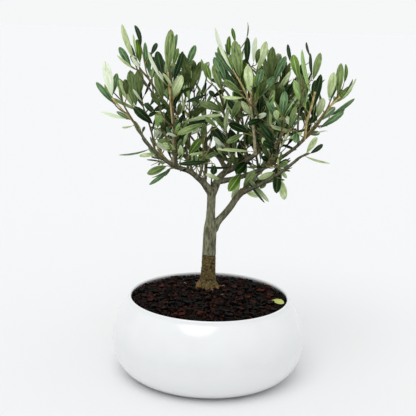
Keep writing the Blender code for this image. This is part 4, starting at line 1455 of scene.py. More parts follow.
SEEN_LEAVES = [Seen(*row) for row in (
    # The far left and the left top
    (122, 24, 134, 60, 6, "young", "under", 0.3), (135, 25, 141, 46, 5, "old", "upper"),
    (137, 39, 140, 63, 7.5, "fresh", "upper"), (133, 34, 136, 55, 2.5, "young", "under"),
    (119, 47, 131, 66, 7, "grown", "upper"), (117, 55, 139, 71, 3, "young", "under", 0.4),
    (105, 61, 112, 96, 9.5, "pale", "under"), (117, 73, 112, 96, 6.5, "grown", "upper"),
    (96, 82, 113, 103, 6, "grown", "upper"), (119, 79, 134, 108, 5, "young", "under", 0.3),
    (100.5, 112, 126, 119, 4, "pale", "under", 0.2), (130, 70, 136, 106, 11, "grown", "under"),
    (139, 69, 139, 97, 10, "grown", "under"), (125, 79, 127, 95, 6, "old", "under"),
    (133, 89, 142, 102, 2.5, "pale", "under"), (171, 29, 168, 70, 10.5, "grown", "under"),
    (177, 34, 173, 60, 5, "grown", "upper"), (178, 48, 174, 66, 5, "young", "upper"),
    (157, 51, 162, 74, 9, "old", "upper"), (157, 43, 151, 55, 5, "old", "upper"),
    (148, 51, 165, 83, 3.5, "pale", "under", 0.5), (145, 42, 146, 71, 5, "grown", "upper"),
    (183, 51, 173, 82, 6.5, "old", "upper"), (172, 65, 171, 81, 7, "grown", "upper"),
    (182, 75, 170, 100, 10.5, "young", "under"), (195.5, 45, 187, 66, 7, "grown", "upper"),
    (156, 73, 163, 99, 9, "grown", "under"), (188, 72, 184, 84, 7, "old", "under"),
    (194.5, 61, 192, 78, 6, "grown", "under"), (200.5, 61, 189, 95, 7, "old", "under"),
    (205.5, 64, 211, 81, 6, "young", "upper"), (213, 65, 222, 91, 8, "grown", "under"),
    # The middle top
    (215, 27, 233, 71, 4, "pale", "under", 0.6), (215, 52, 235, 76, 7, "grown", "upper"),
    (232.5, 28, 235, 42, 4, "fresh", "upper"), (229, 36, 230, 56, 5, "fresh", "upper"),
    (234.5, 40, 240, 78, 11, "grown", "under"), (247.5, 65, 250, 93, 9.5, "young", "under"),
    (247.5, 37, 247, 65, 6.5, "old", "upper"), (247.5, 22, 246.5, 38, 1.5, "grown", "upper"),
    (225.5, 44, 227, 59, 3.5, "old", "upper"), (256, 37, 253.5, 63, 5, "pale", "under"),
    (258.5, 49, 256.5, 64, 5, "grown", "under"), (266.5, 41, 258, 70, 8, "young", "under"),
    (272.5, 46.5, 270, 81, 9, "old", "under"), (280, 53.5, 277, 68, 6, "young", "under"),
    (286, 56, 274, 81, 7.5, "grown", "upper"), (291, 71, 275, 93, 5, "young", "under", -0.4),
    # The right top
    (288, 44, 291.5, 64, 4, "old", "upper", 0.3), (293, 54.5, 298, 78, 9, "young", "upper"),
    (302, 49, 311.5, 95, 4.5, "fresh", "under", 0.5), (306.5, 42, 311, 58, 2.5, "old", "upper", 0.3),
    (310, 53, 312, 76, 3.5, "old", "upper"), (320.5, 52.5, 313, 80, 7.5, "grown", "under"),
    (294, 80, 306, 109, 9, "fresh", "under"), (300, 73, 305, 103, 8, "grown", "under"),
    (321, 74, 313, 108, 8, "old", "upper"), (316, 80, 312, 96, 6, "old", "upper"),
    (334, 72, 329, 99, 8.5, "young", "under"), (341, 63, 338, 95, 8, "grown", "under"),
    (346, 64, 344, 83, 4, "fresh", "upper"), (353, 79, 343, 97, 2.5, "old", "upper", -0.3),
    (356.5, 78, 341, 100, 2.5, "young", "under", -0.3),
    (355, 98.5, 330, 116, 4.5, "grown", "upper", -0.3),
    (344, 112, 320, 128, 6.5, "grown", "upper", -0.3), (323.5, 98, 317, 118, 8, "young", "under"),
    # The middle of the crown
    (186, 102.5, 207, 94, 4, "old", "upper"), (199, 102, 222, 111, 7, "grown", "under"),
    (133.5, 107, 153, 124, 9, "old", "upper"), (144.5, 103, 156, 114, 6, "old", "upper"),
    (160, 111, 157.5, 128, 9, "fresh", "under"), (223.5, 115, 181, 123, 4, "young", "under", 0.35),
    (212, 120, 182, 128, 6, "old", "upper"), (208, 107, 187, 116, 6, "old", "under"),
    (222, 97, 243, 97.5, 3.5, "young", "under", 0.2), (241.5, 101, 253, 119, 6, "young", "under"),
    (266.5, 113.5, 254, 119, 5, "pale", "under"), (266, 124, 294, 131, 4, "young", "under", 0.6),
    (260, 98, 259, 114, 8, "old", "upper"), (280, 87, 277, 106, 8, "old", "under"),
    (285, 91, 282, 116, 8, "grown", "upper"), (276, 110, 277, 120, 6, "young", "under"),
    (240, 101, 231, 119, 7, "grown", "under"), (296, 106, 289, 129, 6, "grown", "under"),
    (302, 116, 293, 127, 2, "grown", "upper"), (316, 115, 310, 124, 7, "old", "upper"),
    (228.5, 123.5, 249, 132, 8.5, "old", "upper"), (212, 127, 224, 143, 9.5, "old", "upper"),
    (213.5, 137, 223, 147, 4.5, "pale", "under"), (177, 134, 204, 123.5, 7, "grown", "under"),
    (201, 138.5, 188.5, 155, 8.5, "young", "upper"), (157, 138.5, 159.5, 128, 7, "pale", "under"),
    (162, 144, 177, 149, 6, "young", "under"), (157, 143, 173, 137, 5, "grown", "under"),
    (129, 43, 135.5, 58, 3.5, "old", "upper"), (150, 52, 149, 74, 6, "grown", "upper"),
    (152, 78, 144, 96, 3, "old", "upper"), (142, 80, 150, 90, 3, "old", "upper"),
    (201, 59, 207, 80, 3, "young", "upper"), (214, 57, 226, 82, 9, "grown", "upper"),
    (221, 66, 232, 86, 7, "old", "upper"), (224, 80, 241, 94, 7, "grown", "under"),
    (213, 83, 206.5, 91, 2, "old", "upper"), (209, 91, 217, 98, 5, "old", "upper"),
    (225, 89, 213, 97, 5, "old", "upper"), (199, 109, 191, 99, 4, "pale", "under"),
    (180.5, 103, 178, 116, 5, "old", "under"), (205, 117, 217, 127, 5, "grown", "under"),
    (205, 124, 202, 140, 6, "old", "under"), (204.5, 158, 220, 152, 5, "grown", "under"),
    (189, 155, 206, 151.5, 3, "young", "under"), (157, 143, 168, 151, 5, "pale", "under"),
    (167, 133, 177, 137, 3, "pale", "under"), (166, 105, 153, 111, 6, "old", "upper"),
    (148, 116, 157, 112, 4, "old", "upper"), (179, 120, 169, 127, 4, "grown", "upper"),
    (191, 88, 179, 93, 3.5, "old", "upper"), (151, 92, 161, 107, 6, "old", "under"),
    (226, 73, 238, 92, 6, "old", "upper"), (262, 69, 257, 86, 7, "grown", "upper"),
    (265, 80, 259, 97, 7, "old", "under"), (247, 124, 262, 119, 6, "old", "upper"),
    (226, 143, 243, 134, 6, "grown", "under"), (320, 133, 308, 134, 5, "grown", "upper"),
    (328, 131, 316, 134, 1.5, "pale", "under"), (228, 100, 236, 112, 6, "old", "upper"),
    (301, 64, 306, 82, 6, "old", "upper"), (246, 92, 243, 110, 6, "old", "upper"),
    # The lower left
    (118.5, 155, 150, 149, 2, "grown", "upper", 0.4), (122, 127, 133, 125.5, 2, "young", "under"),
    (139, 155.5, 156.5, 154, 4.5, "young", "under", 0.2), (147, 174, 166.5, 166, 8, "grown", "under"),
    (149, 185, 171, 168, 4.5, "grown", "upper", 0.2), (178.5, 164, 209, 161, 5, "old", "upper", 0.2),
    # The lower middle
    (213, 174.5, 215, 165, 7, "old", "upper"), (204, 167, 233, 167, 2.5, "old", "upper"),
    (205.5, 174, 221, 180, 4.5, "young", "under"), (216.5, 149, 251, 151.5, 3.5, "young", "under", 0.1),
    (243, 140.5, 238.5, 159, 9, "old", "upper"), (235.5, 173.5, 247, 161.5, 10, "old", "upper"),
    (228.5, 191.5, 241, 173, 10, "young", "upper"), (232, 199.5, 240, 180, 6, "young", "under"),
    (269, 202, 246.5, 176.5, 5, "young", "under"), (265, 203, 245.5, 178, 2.5, "old", "upper"),
    (258.5, 197, 244.5, 190.5, 5.5, "young", "under"), (258.5, 179, 274, 172, 6, "young", "under", 0.2),
    (260, 188.5, 266.5, 180.5, 6, "grown", "under"), (261.5, 157, 273, 161.5, 6, "old", "upper"),
    (263, 141.5, 276.5, 148.5, 7, "old", "upper"),
    # The lower right
    (276.5, 193.5, 278, 167, 9, "old", "upper"), (284.5, 200, 281.5, 180, 8, "young", "under"),
    (286.5, 178.5, 280, 168, 4, "young", "under"), (282, 145, 296, 149.5, 3, "old", "upper"),
    (295.5, 143, 297, 132, 7, "grown", "upper"), (323, 144.5, 310, 153.5, 5, "old", "upper", -0.3),
    (317, 137, 306.5, 153, 6, "young", "under"), (330, 163.5, 304.5, 156, 2.5, "young", "under", -0.3),
)]


class SeenStem(NamedTuple):
    """A stem as the picture shows it, from its root up, and the share of it that no leaf hides."""

    spray: str
    places: tuple
    root_breadth: float
    tip_breadth: float
    age: str
    bare_share: float = 0


SEEN_STEMS = (
    SeenStem(
        "foliage_far_left", ((168, 165), (153, 149), (146, 142), (137, 125), (124, 112), (112, 98)),
        2.6, 1.7, "young", 1,
    ),
    SeenStem("foliage_left_outer", ((171, 166), (163, 156), (158, 147), (153, 139)), 2.6, 1.8, "young", 1),
    SeenStem(
        "foliage_left_front", ((174, 166), (174, 145), (173, 124), (170, 100), (168, 72)),
        3.4, 1.3, "old", 0.7,
    ),
    SeenStem(
        "foliage_left_high", ((172, 116), (167, 104), (159, 96), (150, 80), (140, 69), (135, 60)),
        2.8, 1.6, "brown",
    ),
    SeenStem(
        "foliage_left_inner",
        ((188, 171), (187, 154), (185, 135), (183, 112), (186, 93), (190, 80), (187.5, 67)),
        2.6, 1.3, "brown",
    ),
    SeenStem("foliage_back_left", ((200, 178), (203, 165), (204, 150), (203, 138)), 2.4, 1.4, "brown"),
    SeenStem(
        "foliage_centre", ((258, 158), (255, 148), (253, 121), (251, 108), (251, 92)), 3.8, 1.8, "old", 0.9
    ),
    SeenStem("foliage_centre_mid", ((252, 114), (247, 95), (240, 82), (233, 70)), 2.4, 1.4, "young", 1),
    SeenStem("foliage_centre_high", ((268, 142), (268, 122), (269, 105), (270, 86)), 3, 2.4, "brown"),
    SeenStem("foliage_centre_right", ((276, 161), (279, 143), (284, 128), (288, 110)), 3, 1.3, "old", 0.65),
    SeenStem(
        "foliage_right_high", ((303, 140), (305, 135), (306, 123), (311, 109), (315, 92)), 3, 2, "young", 1
    ),
    SeenStem(
        "foliage_far_right", ((300, 143), (306, 136), (318, 122), (329, 107), (340, 97)),
        3.4, 1.8, "young", 1,
    ),
)

# Where the sky shows through the crown from the front: the middle and the radius of each gap, in
# picture points.
SKY_GAPS = (
    (148, 97, 6), (158, 105, 4), (147, 87, 2.5), (152, 118, 4), (141, 125, 3), (126, 110, 2.5),
    (147, 138, 4), (148, 74, 2), (194, 96, 4), (190, 105, 3), (202, 83, 3), (196, 81, 2),
    (225, 78, 3), (179, 113, 3), (187, 110, 2), (210, 88, 4), (229, 92, 2), (207, 111, 2.5),
    (209, 128, 3), (190, 138, 2), (199, 136, 2), (244, 120, 3), (237, 129, 5), (254, 64, 2.5),
    (293, 74, 2), (300, 124, 5), (324, 99, 2.5), (294, 145, 3), (286, 151, 3), (293, 157, 3),
    (216, 161, 5), (222, 174, 4), (208, 171, 4), (216, 183, 4), (193, 167, 4), (183, 165, 3),
    (199, 170, 3), (256, 161, 5), (262, 171, 3), (166, 154, 2.5), (202, 148, 2), (210, 147, 2),
)

# The crown's outline from the front, in picture points: no other leaf stands out of it.
CROWN_OUTLINE = (
    (112, 104), (102, 88), (102, 74), (110, 66), (118, 62), (124, 36), (140, 38), (150, 50),
    (164, 38), (174, 34), (186, 56), (206, 64), (216, 46), (232, 36), (248, 40), (270, 45),
    (284, 57), (300, 54), (322, 58), (345, 66), (353, 80), (353, 99), (342, 114), (322, 128),
    (318, 140), (312, 151), (296, 162), (282, 190), (262, 194), (236, 188), (222, 176), (190, 170),
    (150, 180), (146, 160), (150, 152), (146, 146), (138, 133), (130, 121), (118, 116),
)


class Blade(NamedTuple):
    """A leaf in its place, and its own shape."""

    frame: Matrix
    tone: str
    width: float  # of its length
    arch: float  # how far it bends from end to end, as an angle, and below 0 where the tip turns down
    fold: float
    twist: float


class Bearers:
    """The wood that can bear a leaf, by where it shows in the picture."""

    def __init__(self):
        self.spots = []
        self.places = []

    def add(self, path):
        for i in range(1, len(path)):
            self.spots.append(seen_at(path[i]))
            self.places.append((path, i))

    def nearest(self, x, y):
        """The wood nearest to that place of the picture, or the foremost of what is close."""
        spots = np.array(self.spots)
        off = np.hypot(spots[:, 0] - x, spots[:, 1] - y) * spots[:, 2] / PICTURE_FOCUS
        close = off < TWIG_REACH
        ranks = np.where(close, spots[:, 2] + OFF_PENALTY * off, np.inf) if close.any() else off
        best = np.argmin(ranks)
        return self.places[best], float(spots[best, 2]), float(off[best])


def seen_at(point):
    """Where a point shows in the picture, and how far off it is."""
    place = camera_stand.inverted() @ point
    scale = PICTURE_FOCUS / -place.z
    return PICTURE_MIDDLE + place.x * scale, PICTURE_MIDDLE - place.y * scale, -place.z


def behind(x, y, far):
    """The point that shows there in the picture, that far off."""
    scale = far / PICTURE_FOCUS
    return camera_stand @ Vector(((x - PICTURE_MIDDLE) * scale, (PICTURE_MIDDLE - y) * scale, -far))


def set_out(point, direction, upper, size):
    """The matrix that puts a leaf's length on Z, its width on X and its upper face on Y."""
    across = upper.cross(direction).normalized()
    turned_to = Matrix((across, direction.cross(across), direction)).transposed().to_4x4()
    return Matrix.Translation(point) @ turned_to @ Matrix.Scale(size, 4)


def seen_stem(stem, bearers):
    """A stem from the wood nearest to its root, whose tip is as far off as its spray's."""
    (path, i), root_far, _ = bearers.nearest(*stem.places[0])
    tip_far = seen_at(stems[stem.spray][-1])[2]
    points = [path[i]]
    for (x, y), share in zip(stem.places[1:], shares(len(stem.places))[1:]):
        points.append(behind(x, y, between(root_far, tip_far, share)))
    run = [at_share(points, share)[0] for share in shares(FINE_STATIONS)]
    for _ in range(STEM_EASING):
        run = [run[0]] + [(a + b * 2 + c) / 4 for a, b, c in zip(run, run[1:], run[2:])] + [run[-1]]
    radii = [breadth / 2 * tip_far / PICTURE_FOCUS for breadth in (stem.root_breadth, stem.tip_breadth)]
    bears(path, i / (len(path) - 1))
    return Wood(run, *radii, NODE_GAP, stem.age)


def leading_shoot(path, i, off, base, direction):
    """A short shoot that leaves its twig a little lower down and leads to the leaf's base."""
    pace = (path[i] - path[i - 1]).length
    i = min(max(i - round(SHOOT_SETBACK * off / pace), 0), len(path) - 2)
    bears(path, i / (len(path) - 1))
    heading = (path[i + 1] - path[i]).normalized()
    leaving = (heading + (base - path[i]).normalized()).normalized()
    return led_path(path[i], leaving, base, direction, SHOOT_STATIONS)


def grow_green(shoot):
    """Adds a short green shoot to the wood that is drawn."""
    wood.append(Wood(shoot, SHOOT_RADIUS, SHOOT_TIP_RADIUS, SHOOT_NODE_GAP, "green"))


def seen_blade(leaf, rng, bearers):
    """Puts a leaf on its bearer so that it shows as it does in the picture."""
    (path, i), far, off = bearers.nearest(leaf.base_x, leaf.base_y)
    base = behind(leaf.base_x, leaf.base_y, far)
    shown_run = (behind(leaf.tip_x, leaf.tip_y, far) - base).length
    foreshortened = math.sqrt(max(LEAST_LEAF**2 - shown_run**2, 0))
    lean = min(MOST_LEAN, foreshortened + COMMON_LEAN * shown_run)
    rising = leaf.tip_y < leaf.base_y
    nearer = (leaf.face == "under") == rising
    tip = behind(leaf.tip_x, leaf.tip_y, far - lean if nearer else far + lean)
    direction = (tip - base).normalized()
    size = (tip - base).length
    if off > SHOOT_RADIUS:
        shoot = leading_shoot(path, i, off, base, direction)
        grow_green(shoot)
        bearers.add(shoot)
        bears(shoot, 1)
    bears(path, i / (len(path) - 1))
    breadth = leaf.breadth * far / PICTURE_FOCUS
    width = max(LEAST_WIDTH * size, breadth)
    turn = math.acos(breadth / width) * (1 if leaf.bow or rng.random() < 0.5 else -1)
    to_viewer = CAMERA_PLACE - base
    facing = (to_viewer - direction * to_viewer.dot(direction)).normalized()
    shown_face = Matrix.Rotation(turn, 3, direction) @ facing
    over = leaf.face == "upper"
    arch = rng.uniform(*SEEN_ARCHES)
    if leaf.bow:
        arch = leaf.bow if over else -leaf.bow
    frame = set_out(base, direction, shown_face if over else -shown_face, size)
    return Blade(frame, leaf.tone, width / size, arch, rng.uniform(*SEEN_FOLDS), 0)


class FrontView:
    """What shows from the front: the leaves set out there, which no other leaf hides."""

    def __init__(self, leaves):
        self.bases = np.array([seen_at(blade.frame.translation) for _, blade in leaves])
        self.tips = np.array([seen_at(blade.frame @ UP) for _, blade in leaves])
        self.halves = np.array([leaf.breadth / 2 for leaf, _ in leaves])

    def hidden_by(self, spots):
        """Whether something at these spots of the picture would hide one of the leaves."""
        run = self.tips - self.bases
        away = spots[:, None] - self.bases
        share = np.clip((away * run)[..., :2].sum(2) / (run[:, :2] ** 2).sum(1), 0, 1)
        on_leaf = self.bases + run * share[..., None]
        off = np.linalg.norm((spots[:, None] - on_leaf)[..., :2], axis=2)
        before = spots[:, None, 2] < on_leaf[..., 2] + VIEW_SLACK
        on_body = (share > LEAF_BODY[0]) & (share < LEAF_BODY[1]) & (off < self.halves * BODY_BREADTH)
        return bool((before & on_body).any())


def covers(base, tip, half, spots):
    """Which round spots of the picture a leaf from base to tip covers, and how far off it is there."""
    run = (tip - base)[:2]
    share = np.clip(((spots[:, :2] - base[:2]) * run).sum(1) / (run @ run), COVER_FROM, 1)
    off = np.linalg.norm(spots[:, :2] - base[:2] - run * share[:, None], axis=1)
    return off < spots[:, 2] + half, between(base[2], tip[2], share)


def fills_gap(base, tip, half):
    """Whether a leaf from base to tip would close one of the sky's gaps."""
    return bool(covers(base, tip, half, np.array(SKY_GAPS) * (1, 1, GAP_CLEARNESS))[0].any())


def hides_stem(base, tip, half):
    """Whether a leaf from base to tip would hide a stem that shows bare."""
    covered, far = covers(base, tip, half * STEM_CLEARNESS, stem_spots)
    return bool((covered & (far < stem_spots[:, 3])).any())


def within(outline, x, y):
    """Whether a place lies inside a closed outline."""
    inside = False
    for (x0, y0), (x1, y1) in zip(outline, outline[1:] + outline[:1]):
        if (y0 > y) != (y1 > y) and x < x0 + (y - y0) / (y1 - y0) * (x1 - x0):
            inside = not inside
    return inside


bearers = Bearers()
for name, (path, _) in limb_shapes(FINE_STATIONS).items():
    if name not in ("trunk", "dead_stub"):
        bearers.add(path)
for run in list(wood):
    bearers.add(run.path)
seen_stems = []
for stem in SEEN_STEMS:
    seen_stems.append(seen_stem(stem, bearers))
    bearers.add(seen_stems[-1].path)
    bears(seen_stems[-1].path, 1)
wood += seen_stems
seen_rng = Random(SEEN_SEED)
seen_blades = [(leaf, seen_blade(leaf, seen_rng, bearers)) for leaf in SEEN_LEAVES]
front_view = FrontView(seen_blades)
stem_spots = []
for stem, run in zip(SEEN_STEMS, seen_stems):
    for x, y, far in map(seen_at, run.path[:round(len(run.path) * stem.bare_share)]):
        stem_spots.append((x, y, stem.tip_breadth / 2, far))
stem_spots = np.array(stem_spots)  # every place and half breadth, and how far off it is


# Leaves
# Leathery oblong leaves with a blunt tip, a sunken pale midrib and edges rolled under, deep green
# and slightly glossy above and silvery below. They stand in crossed pairs and arch away from the light.

LEAF_COLUMNS = {1: (-1, -0.5, -0.07, 0.07, 0.5, 1), -1: (-1, -0.07, 0.07, 1)}
LEAF_ROWS = (0, 0.04, 0.2, 0.42, 0.62, 0.8, 0.93, 1)
RIB_EDGE = 0.05  # of the half breadth
LEAF_WELD = 0.001  # of its length
LEAF_STALK = 0.11  # of its width
LEAF_SWELL = 0.88
LEAF_BLUNTNESS = 0.62
LEAST_ARCH = 0.03
UPPER_PAD = 0.007  # of its length, as are the next four
UNDER_PAD = 0.006
RIB_SINK = 0.008
RIB_STAND = 0.012
EDGE_ROLL = 0.020
RIB_BREADTH = 0.2  # of the half breadth
END_FULLNESS = 12  # how soon the blade is at its full thickness
BLADE_WIDTHS = (0.20, 0.275)
BLADE_ARCHES = (-0.7, 0.1)
BLADE_FOLDS = (-0.05, 0.3)
BLADE_TWIST = 0.3
HANG_OUTWARD = 0.45
LEAF_SIZES = (1, 0.74, 0.52)  # tried one after the other where a leaf would spoil the view
FINER_SEED = 100  # above the spray's own
FINER_FROM = 0.15  # of a twig's length
FINER_WAVER = 0.3
FINER_ANGLES = (-0.1, 0.15)
FINER_LENGTHS = (0.85, 1.15)
FINER_ROLL = 0.5
SHOOT_HEADING = (0.6, 0.3)  # how much it leans along its twig and up, beside outward
SHOOT_SAG = 0.08  # of its length
SHOOT_PAIRS = (2, 3)
SHOOT_AGE = 0.4
SHOOT_ROOM = slice(2, -6)  # the leaves of a stem beside which a shoot may grow
BOUGH_SEED = 500
BOUGH_SHOOT_WAVER = 0.05
BOUGH_SHOOT_RISE = 0.3
BOUGH_SHOOT_AGE = 0.8
SEEN_STEM_SEED = 900
SEEN_STEM_GAP = 10 * MM
SEEN_STEM_FIRST = 0.7  # of that gap
SEEN_STEM_TOP = 0.97
SEEN_STEM_SHOOT_RATE = 0.25
SEEN_STEM_SHOOT_AGES = (0.9, 0.6)  # at the root, and how much less at the tip
SEEN_STEM_LEAVES = (0.7, 1.05)
LEAF_STREAK = 0.2
LEAF_SHINES = (0.1, 0.06)
RIB_PALER = 1.25
# The pale edge of a leaf: partly its own colour and partly a painted highlight.
RIM_AND_HIGHLIGHT_FROM = 0.55
RIM_AND_HIGHLIGHT_STRENGTH = 0.75
# Painted shade at the leaf's base, over that reach from the stalk.
STALK_SHADE = 0.9
STALK_SHADE_REACH = 22 * MM
LEAF_APART = 20 * MM
LEAF_CREASE = math.radians(70)
LEFT_PART = -28 * MM
RIGHT_PART = 44 * MM

# For each tone: the upper face's two colours, the lower face's two colours and the midrib.
# Their lighter colours are partly the leaves' own and partly painted light: light shining through the
# leaves, chiefly in the fresh tone and on the pale undersides, and sheen on the grown upper faces.
LEAF_TONES = {
    "old": (
        (0.0006, 0.0040, 0.0005), (0.014, 0.052, 0.006), (0.014, 0.026, 0.004), (0.180, 0.230, 0.072),
        (0.060, 0.105, 0.040),
    ),
    "grown": (
        (0.008, 0.038, 0.010), (0.165, 0.295, 0.130), (0.036, 0.066, 0.011), (0.310, 0.400, 0.155),
        (0.210, 0.310, 0.130),
    ),
    "young": (
        (0.040, 0.105, 0.008), (0.170, 0.290, 0.050), (0.230, 0.330, 0.115), (0.840, 0.930, 0.600),
        (0.380, 0.470, 0.180),
    ),
    "fresh": (
        (0.016, 0.060, 0.0005), (0.090, 0.185, 0.004), (0.180, 0.340, 0.085), (0.520, 0.700, 0.340),
        (0.170, 0.260, 0.040),
    ),
    "pale": (
        (0.10, 0.18, 0.07), (0.22, 0.34, 0.16), (0.52, 0.63, 0.41), (0.94, 0.98, 0.86),
        (0.58, 0.66, 0.42),
    ),
    "fallen": (
        (0.36, 0.42, 0.10), (0.60, 0.64, 0.25), (0.45, 0.50, 0.2), (0.62, 0.66, 0.3),
        (0.60, 0.58, 0.22),
    ),
}
# The share of each of those tones, for a twig's oldest leaf and for its youngest.
OLD_SHARES = (0.72, 0.14, 0.10, 0.01, 0.03, 0)
YOUNG_SHARES = (0.24, 0.27, 0.33, 0.08, 0.08, 0)

# Of a twig's finer leaves: how far each pair stands below the tip in mm, its size and its angle.
FINER_PAIRS = ((0.5, 0.42, 0.12), (3, 0.62, 0.24), (9.5, 0.85, 0.42), (22, 0.9, 0.62), (35, 0.8, 0.8))


def leaf_frame(leaf, fold, shrink, hang):
    """The frame of a leaf that stands off its twig, folded towards the twig by that share."""
    angle = leaf.angle * (1 - fold)
    direction = leaf.along * math.cos(angle) + leaf.outward * math.sin(angle)
    direction = (direction * (1 - hang) + (leaf.outward * HANG_OUTWARD - UP) * hang).normalized()
    level = leaf.along - direction * leaf.along.dot(direction)
    upper = Matrix.Rotation(leaf.roll, 3, direction) @ level
    return set_out(leaf.point - direction * LEAF_SUNK, direction, upper, leaf.size * shrink)


def leaf_outline(frame):
    """Points round a leaf, all of which have to lie in its spray's space."""
    half = LEAF_WIDTH / 2
    spots = ((0, 0.25), (0, 0.5), (half, LEAF_WIDEST_AT), (-half, LEAF_WIDEST_AT), (0, 0.8), (0, 1))
    return [frame @ Vector((x, 0, z)) for x, z in spots]


def blade_tree(frame):
    """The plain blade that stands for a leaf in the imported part, as a tree for overlap tests."""
    shape = bmesh.new()
    base, tip = shape.verts.new((0, 0, 0)), shape.verts.new((0, 0, 1))
    left = shape.verts.new((-LEAF_WIDTH / 2, 0, LEAF_WIDEST_AT))
    right = shape.verts.new((LEAF_WIDTH / 2, 0, LEAF_WIDEST_AT))
    ridge = shape.verts.new((0, LEAF_THICKNESS, LEAF_WIDEST_AT))
    for first, second in ((left, right), (right, ridge), (ridge, left)):
        shape.faces.new((base, second, first))
        shape.faces.new((tip, first, second))
    shape.transform(frame)
    return tree_of(shape)


def fitted_leaf(name, leaf, hang, placed):
    """The leaf's frame and its tree in the first pose that has room, or None."""
    neighbours = [tree for point, tree in placed if (point - leaf.point).length > PAIR_SPACING]
    for fold, shrink in LEAF_POSES:
        frame = leaf_frame(leaf, fold, shrink, hang)
        if name and not space.holds(name, leaf_outline(frame)):
            continue
        tree = blade_tree(frame)
        if space.clears_limbs(tree) and not any(other.overlap(tree) for other in neighbours):
            return frame, tree
    return None


def spoils_view(frame):
    """Whether a leaf would hide one set out in front, close a gap or stand out of the outline."""
    spots = np.array([seen_at(point) for point in leaf_outline(frame)])
    base = np.array(seen_at(frame.translation))
    half = np.linalg.norm(spots[2] - spots[3]) / 2
    leaf = base, spots[-1], half
    if front_view.hidden_by(spots) or fills_gap(*leaf) or hides_stem(*leaf):
        return True
    return not all(within(CROWN_OUTLINE, x, y) for x, y, _ in spots)


def add_leaf(name, leaf, path, hang, age, placed, rng):
    """Adds a leaf that has room, if it keeps to the outline and hides no leaf set out in front."""
    tone_shares = [between(young, old, age) for old, young in zip(OLD_SHARES, YOUNG_SHARES)]
    tone = rng.choices(list(LEAF_TONES), tone_shares)[0]
    own_shape = [rng.uniform(*span) for span in (BLADE_WIDTHS, BLADE_ARCHES, BLADE_FOLDS)]
    twist = about(rng, BLADE_TWIST)
    fitted = fitted_leaf(name, leaf, hang, placed)
    if not fitted:
        return
    frame, tree = fitted
    placed.append((leaf.point, tree))
    for shrink in LEAF_SIZES:
        smaller = frame @ Matrix.Scale(shrink, 4)
        if not spoils_view(smaller):
            blades.append(Blade(smaller, tone, *own_shape, twist))
            bears(path, share_on(path, leaf.point))
            return


def finer_leaves(path, rng):
    """The leaves between a twig's main pairs: small ones at its bud, and closer pairs below it."""
    length = run_of(path)
    turn = rng.uniform(0, math.pi)
    found = []
    for below_tip, size, angle in FINER_PAIRS:
        share = 1 - below_tip * MM / length
        turn += math.pi / 2 + about(rng, FINER_WAVER)
        if share < FINER_FROM:
            break
        point, along = at_share(path, share)
        for side in (0, math.pi):
            outward = square_to(along, turn + side + about(rng, FINER_WAVER))
            stands = angle + rng.uniform(*FINER_ANGLES)
            leaf_size = LEAF_LENGTH * size * rng.uniform(*FINER_LENGTHS)
            found.append(Leaf(point, along, outward, stands, leaf_size, about(rng, FINER_ROLL)))
    return found


def short_shoot(point, along, outward, rng):
    """A short side shoot: its path and its few leaves."""
    run = rng.uniform(*SHOOT_REACHES)
    forward, rise = SHOOT_HEADING
    heading = (along * forward + outward + UP * rise).normalized()
    path = bowed_path(point, heading * run, -SHOOT_SAG * run, SHOOT_STATIONS)
    return path, finer_leaves(path, rng)[: 2 * rng.randint(*SHOOT_PAIRS)]


def grow_shoot(name, shoot, leaves, hang, age, placed, rng):
    """Draws a shoot if any of its leaves finds a place."""
    for leaf in leaves:
        add_leaf(name, leaf, shoot, hang, age, placed, rng)
    if id(shoot) in tops:
        grow_green(shoot)
    return id(shoot) in tops


def dress_twigs(name, spray):
    """Leaves on the spray's twigs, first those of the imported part, then finer growth between."""
    placed = []
    rng = Random(spray.seed + FINER_SEED)
    stem = runs_of[name][0].path
    for twig, run in zip(twigs_of[name], runs_of[name]):
        for number, leaf in enumerate(twig.leaves):
            add_leaf(name, leaf, run.path, spray.hang, 1 - number / len(twig.leaves), placed, rng)
    for run in runs_of[name]:
        for leaf in finer_leaves(run.path, rng):
            add_leaf(name, leaf, run.path, spray.hang, 0, placed, rng)
    for leaf in twigs_of[name][0].leaves[SHOOT_ROOM]:
        grows = rng.random() < SHOOT_RATE
        shoot, leaves = short_shoot(leaf.point, leaf.along, leaf.outward, rng)
        if not (grows and space.holds(name, shoot[1:])):
            continue
        if grow_shoot(name, shoot, leaves, spray.hang, SHOOT_AGE, placed, rng):
            bears(stem, share_on(stem, shoot[0]))
    for run in runs_of[name][1:]:
        if id(run.path) in tops:
            bears(stem, share_on(stem, run.path[0]))


def dress_bough(name, number):
    """Short leafy shoots along a bough."""
    placed = []
    rng = Random(number + BOUGH_SEED)
    path, _ = limb_lines[name]
    for share in BOUGH_SHOOT_SHARES:
        point, along = at_share(path, share + about(rng, BOUGH_SHOOT_WAVER))
        outward = square_to(along, rng.uniform(0, math.tau))
        grows = rng.random() < BOUGH_SHOOT_RATE
        shoot, leaves = short_shoot(point, along, (outward + UP * BOUGH_SHOOT_RISE).normalized(), rng)
        x, y, _ = seen_at(shoot[-1])
        if grows and within(CROWN_OUTLINE, x, y):
            grow_shoot(None, shoot, leaves, 0, BOUGH_SHOOT_AGE, placed, rng)


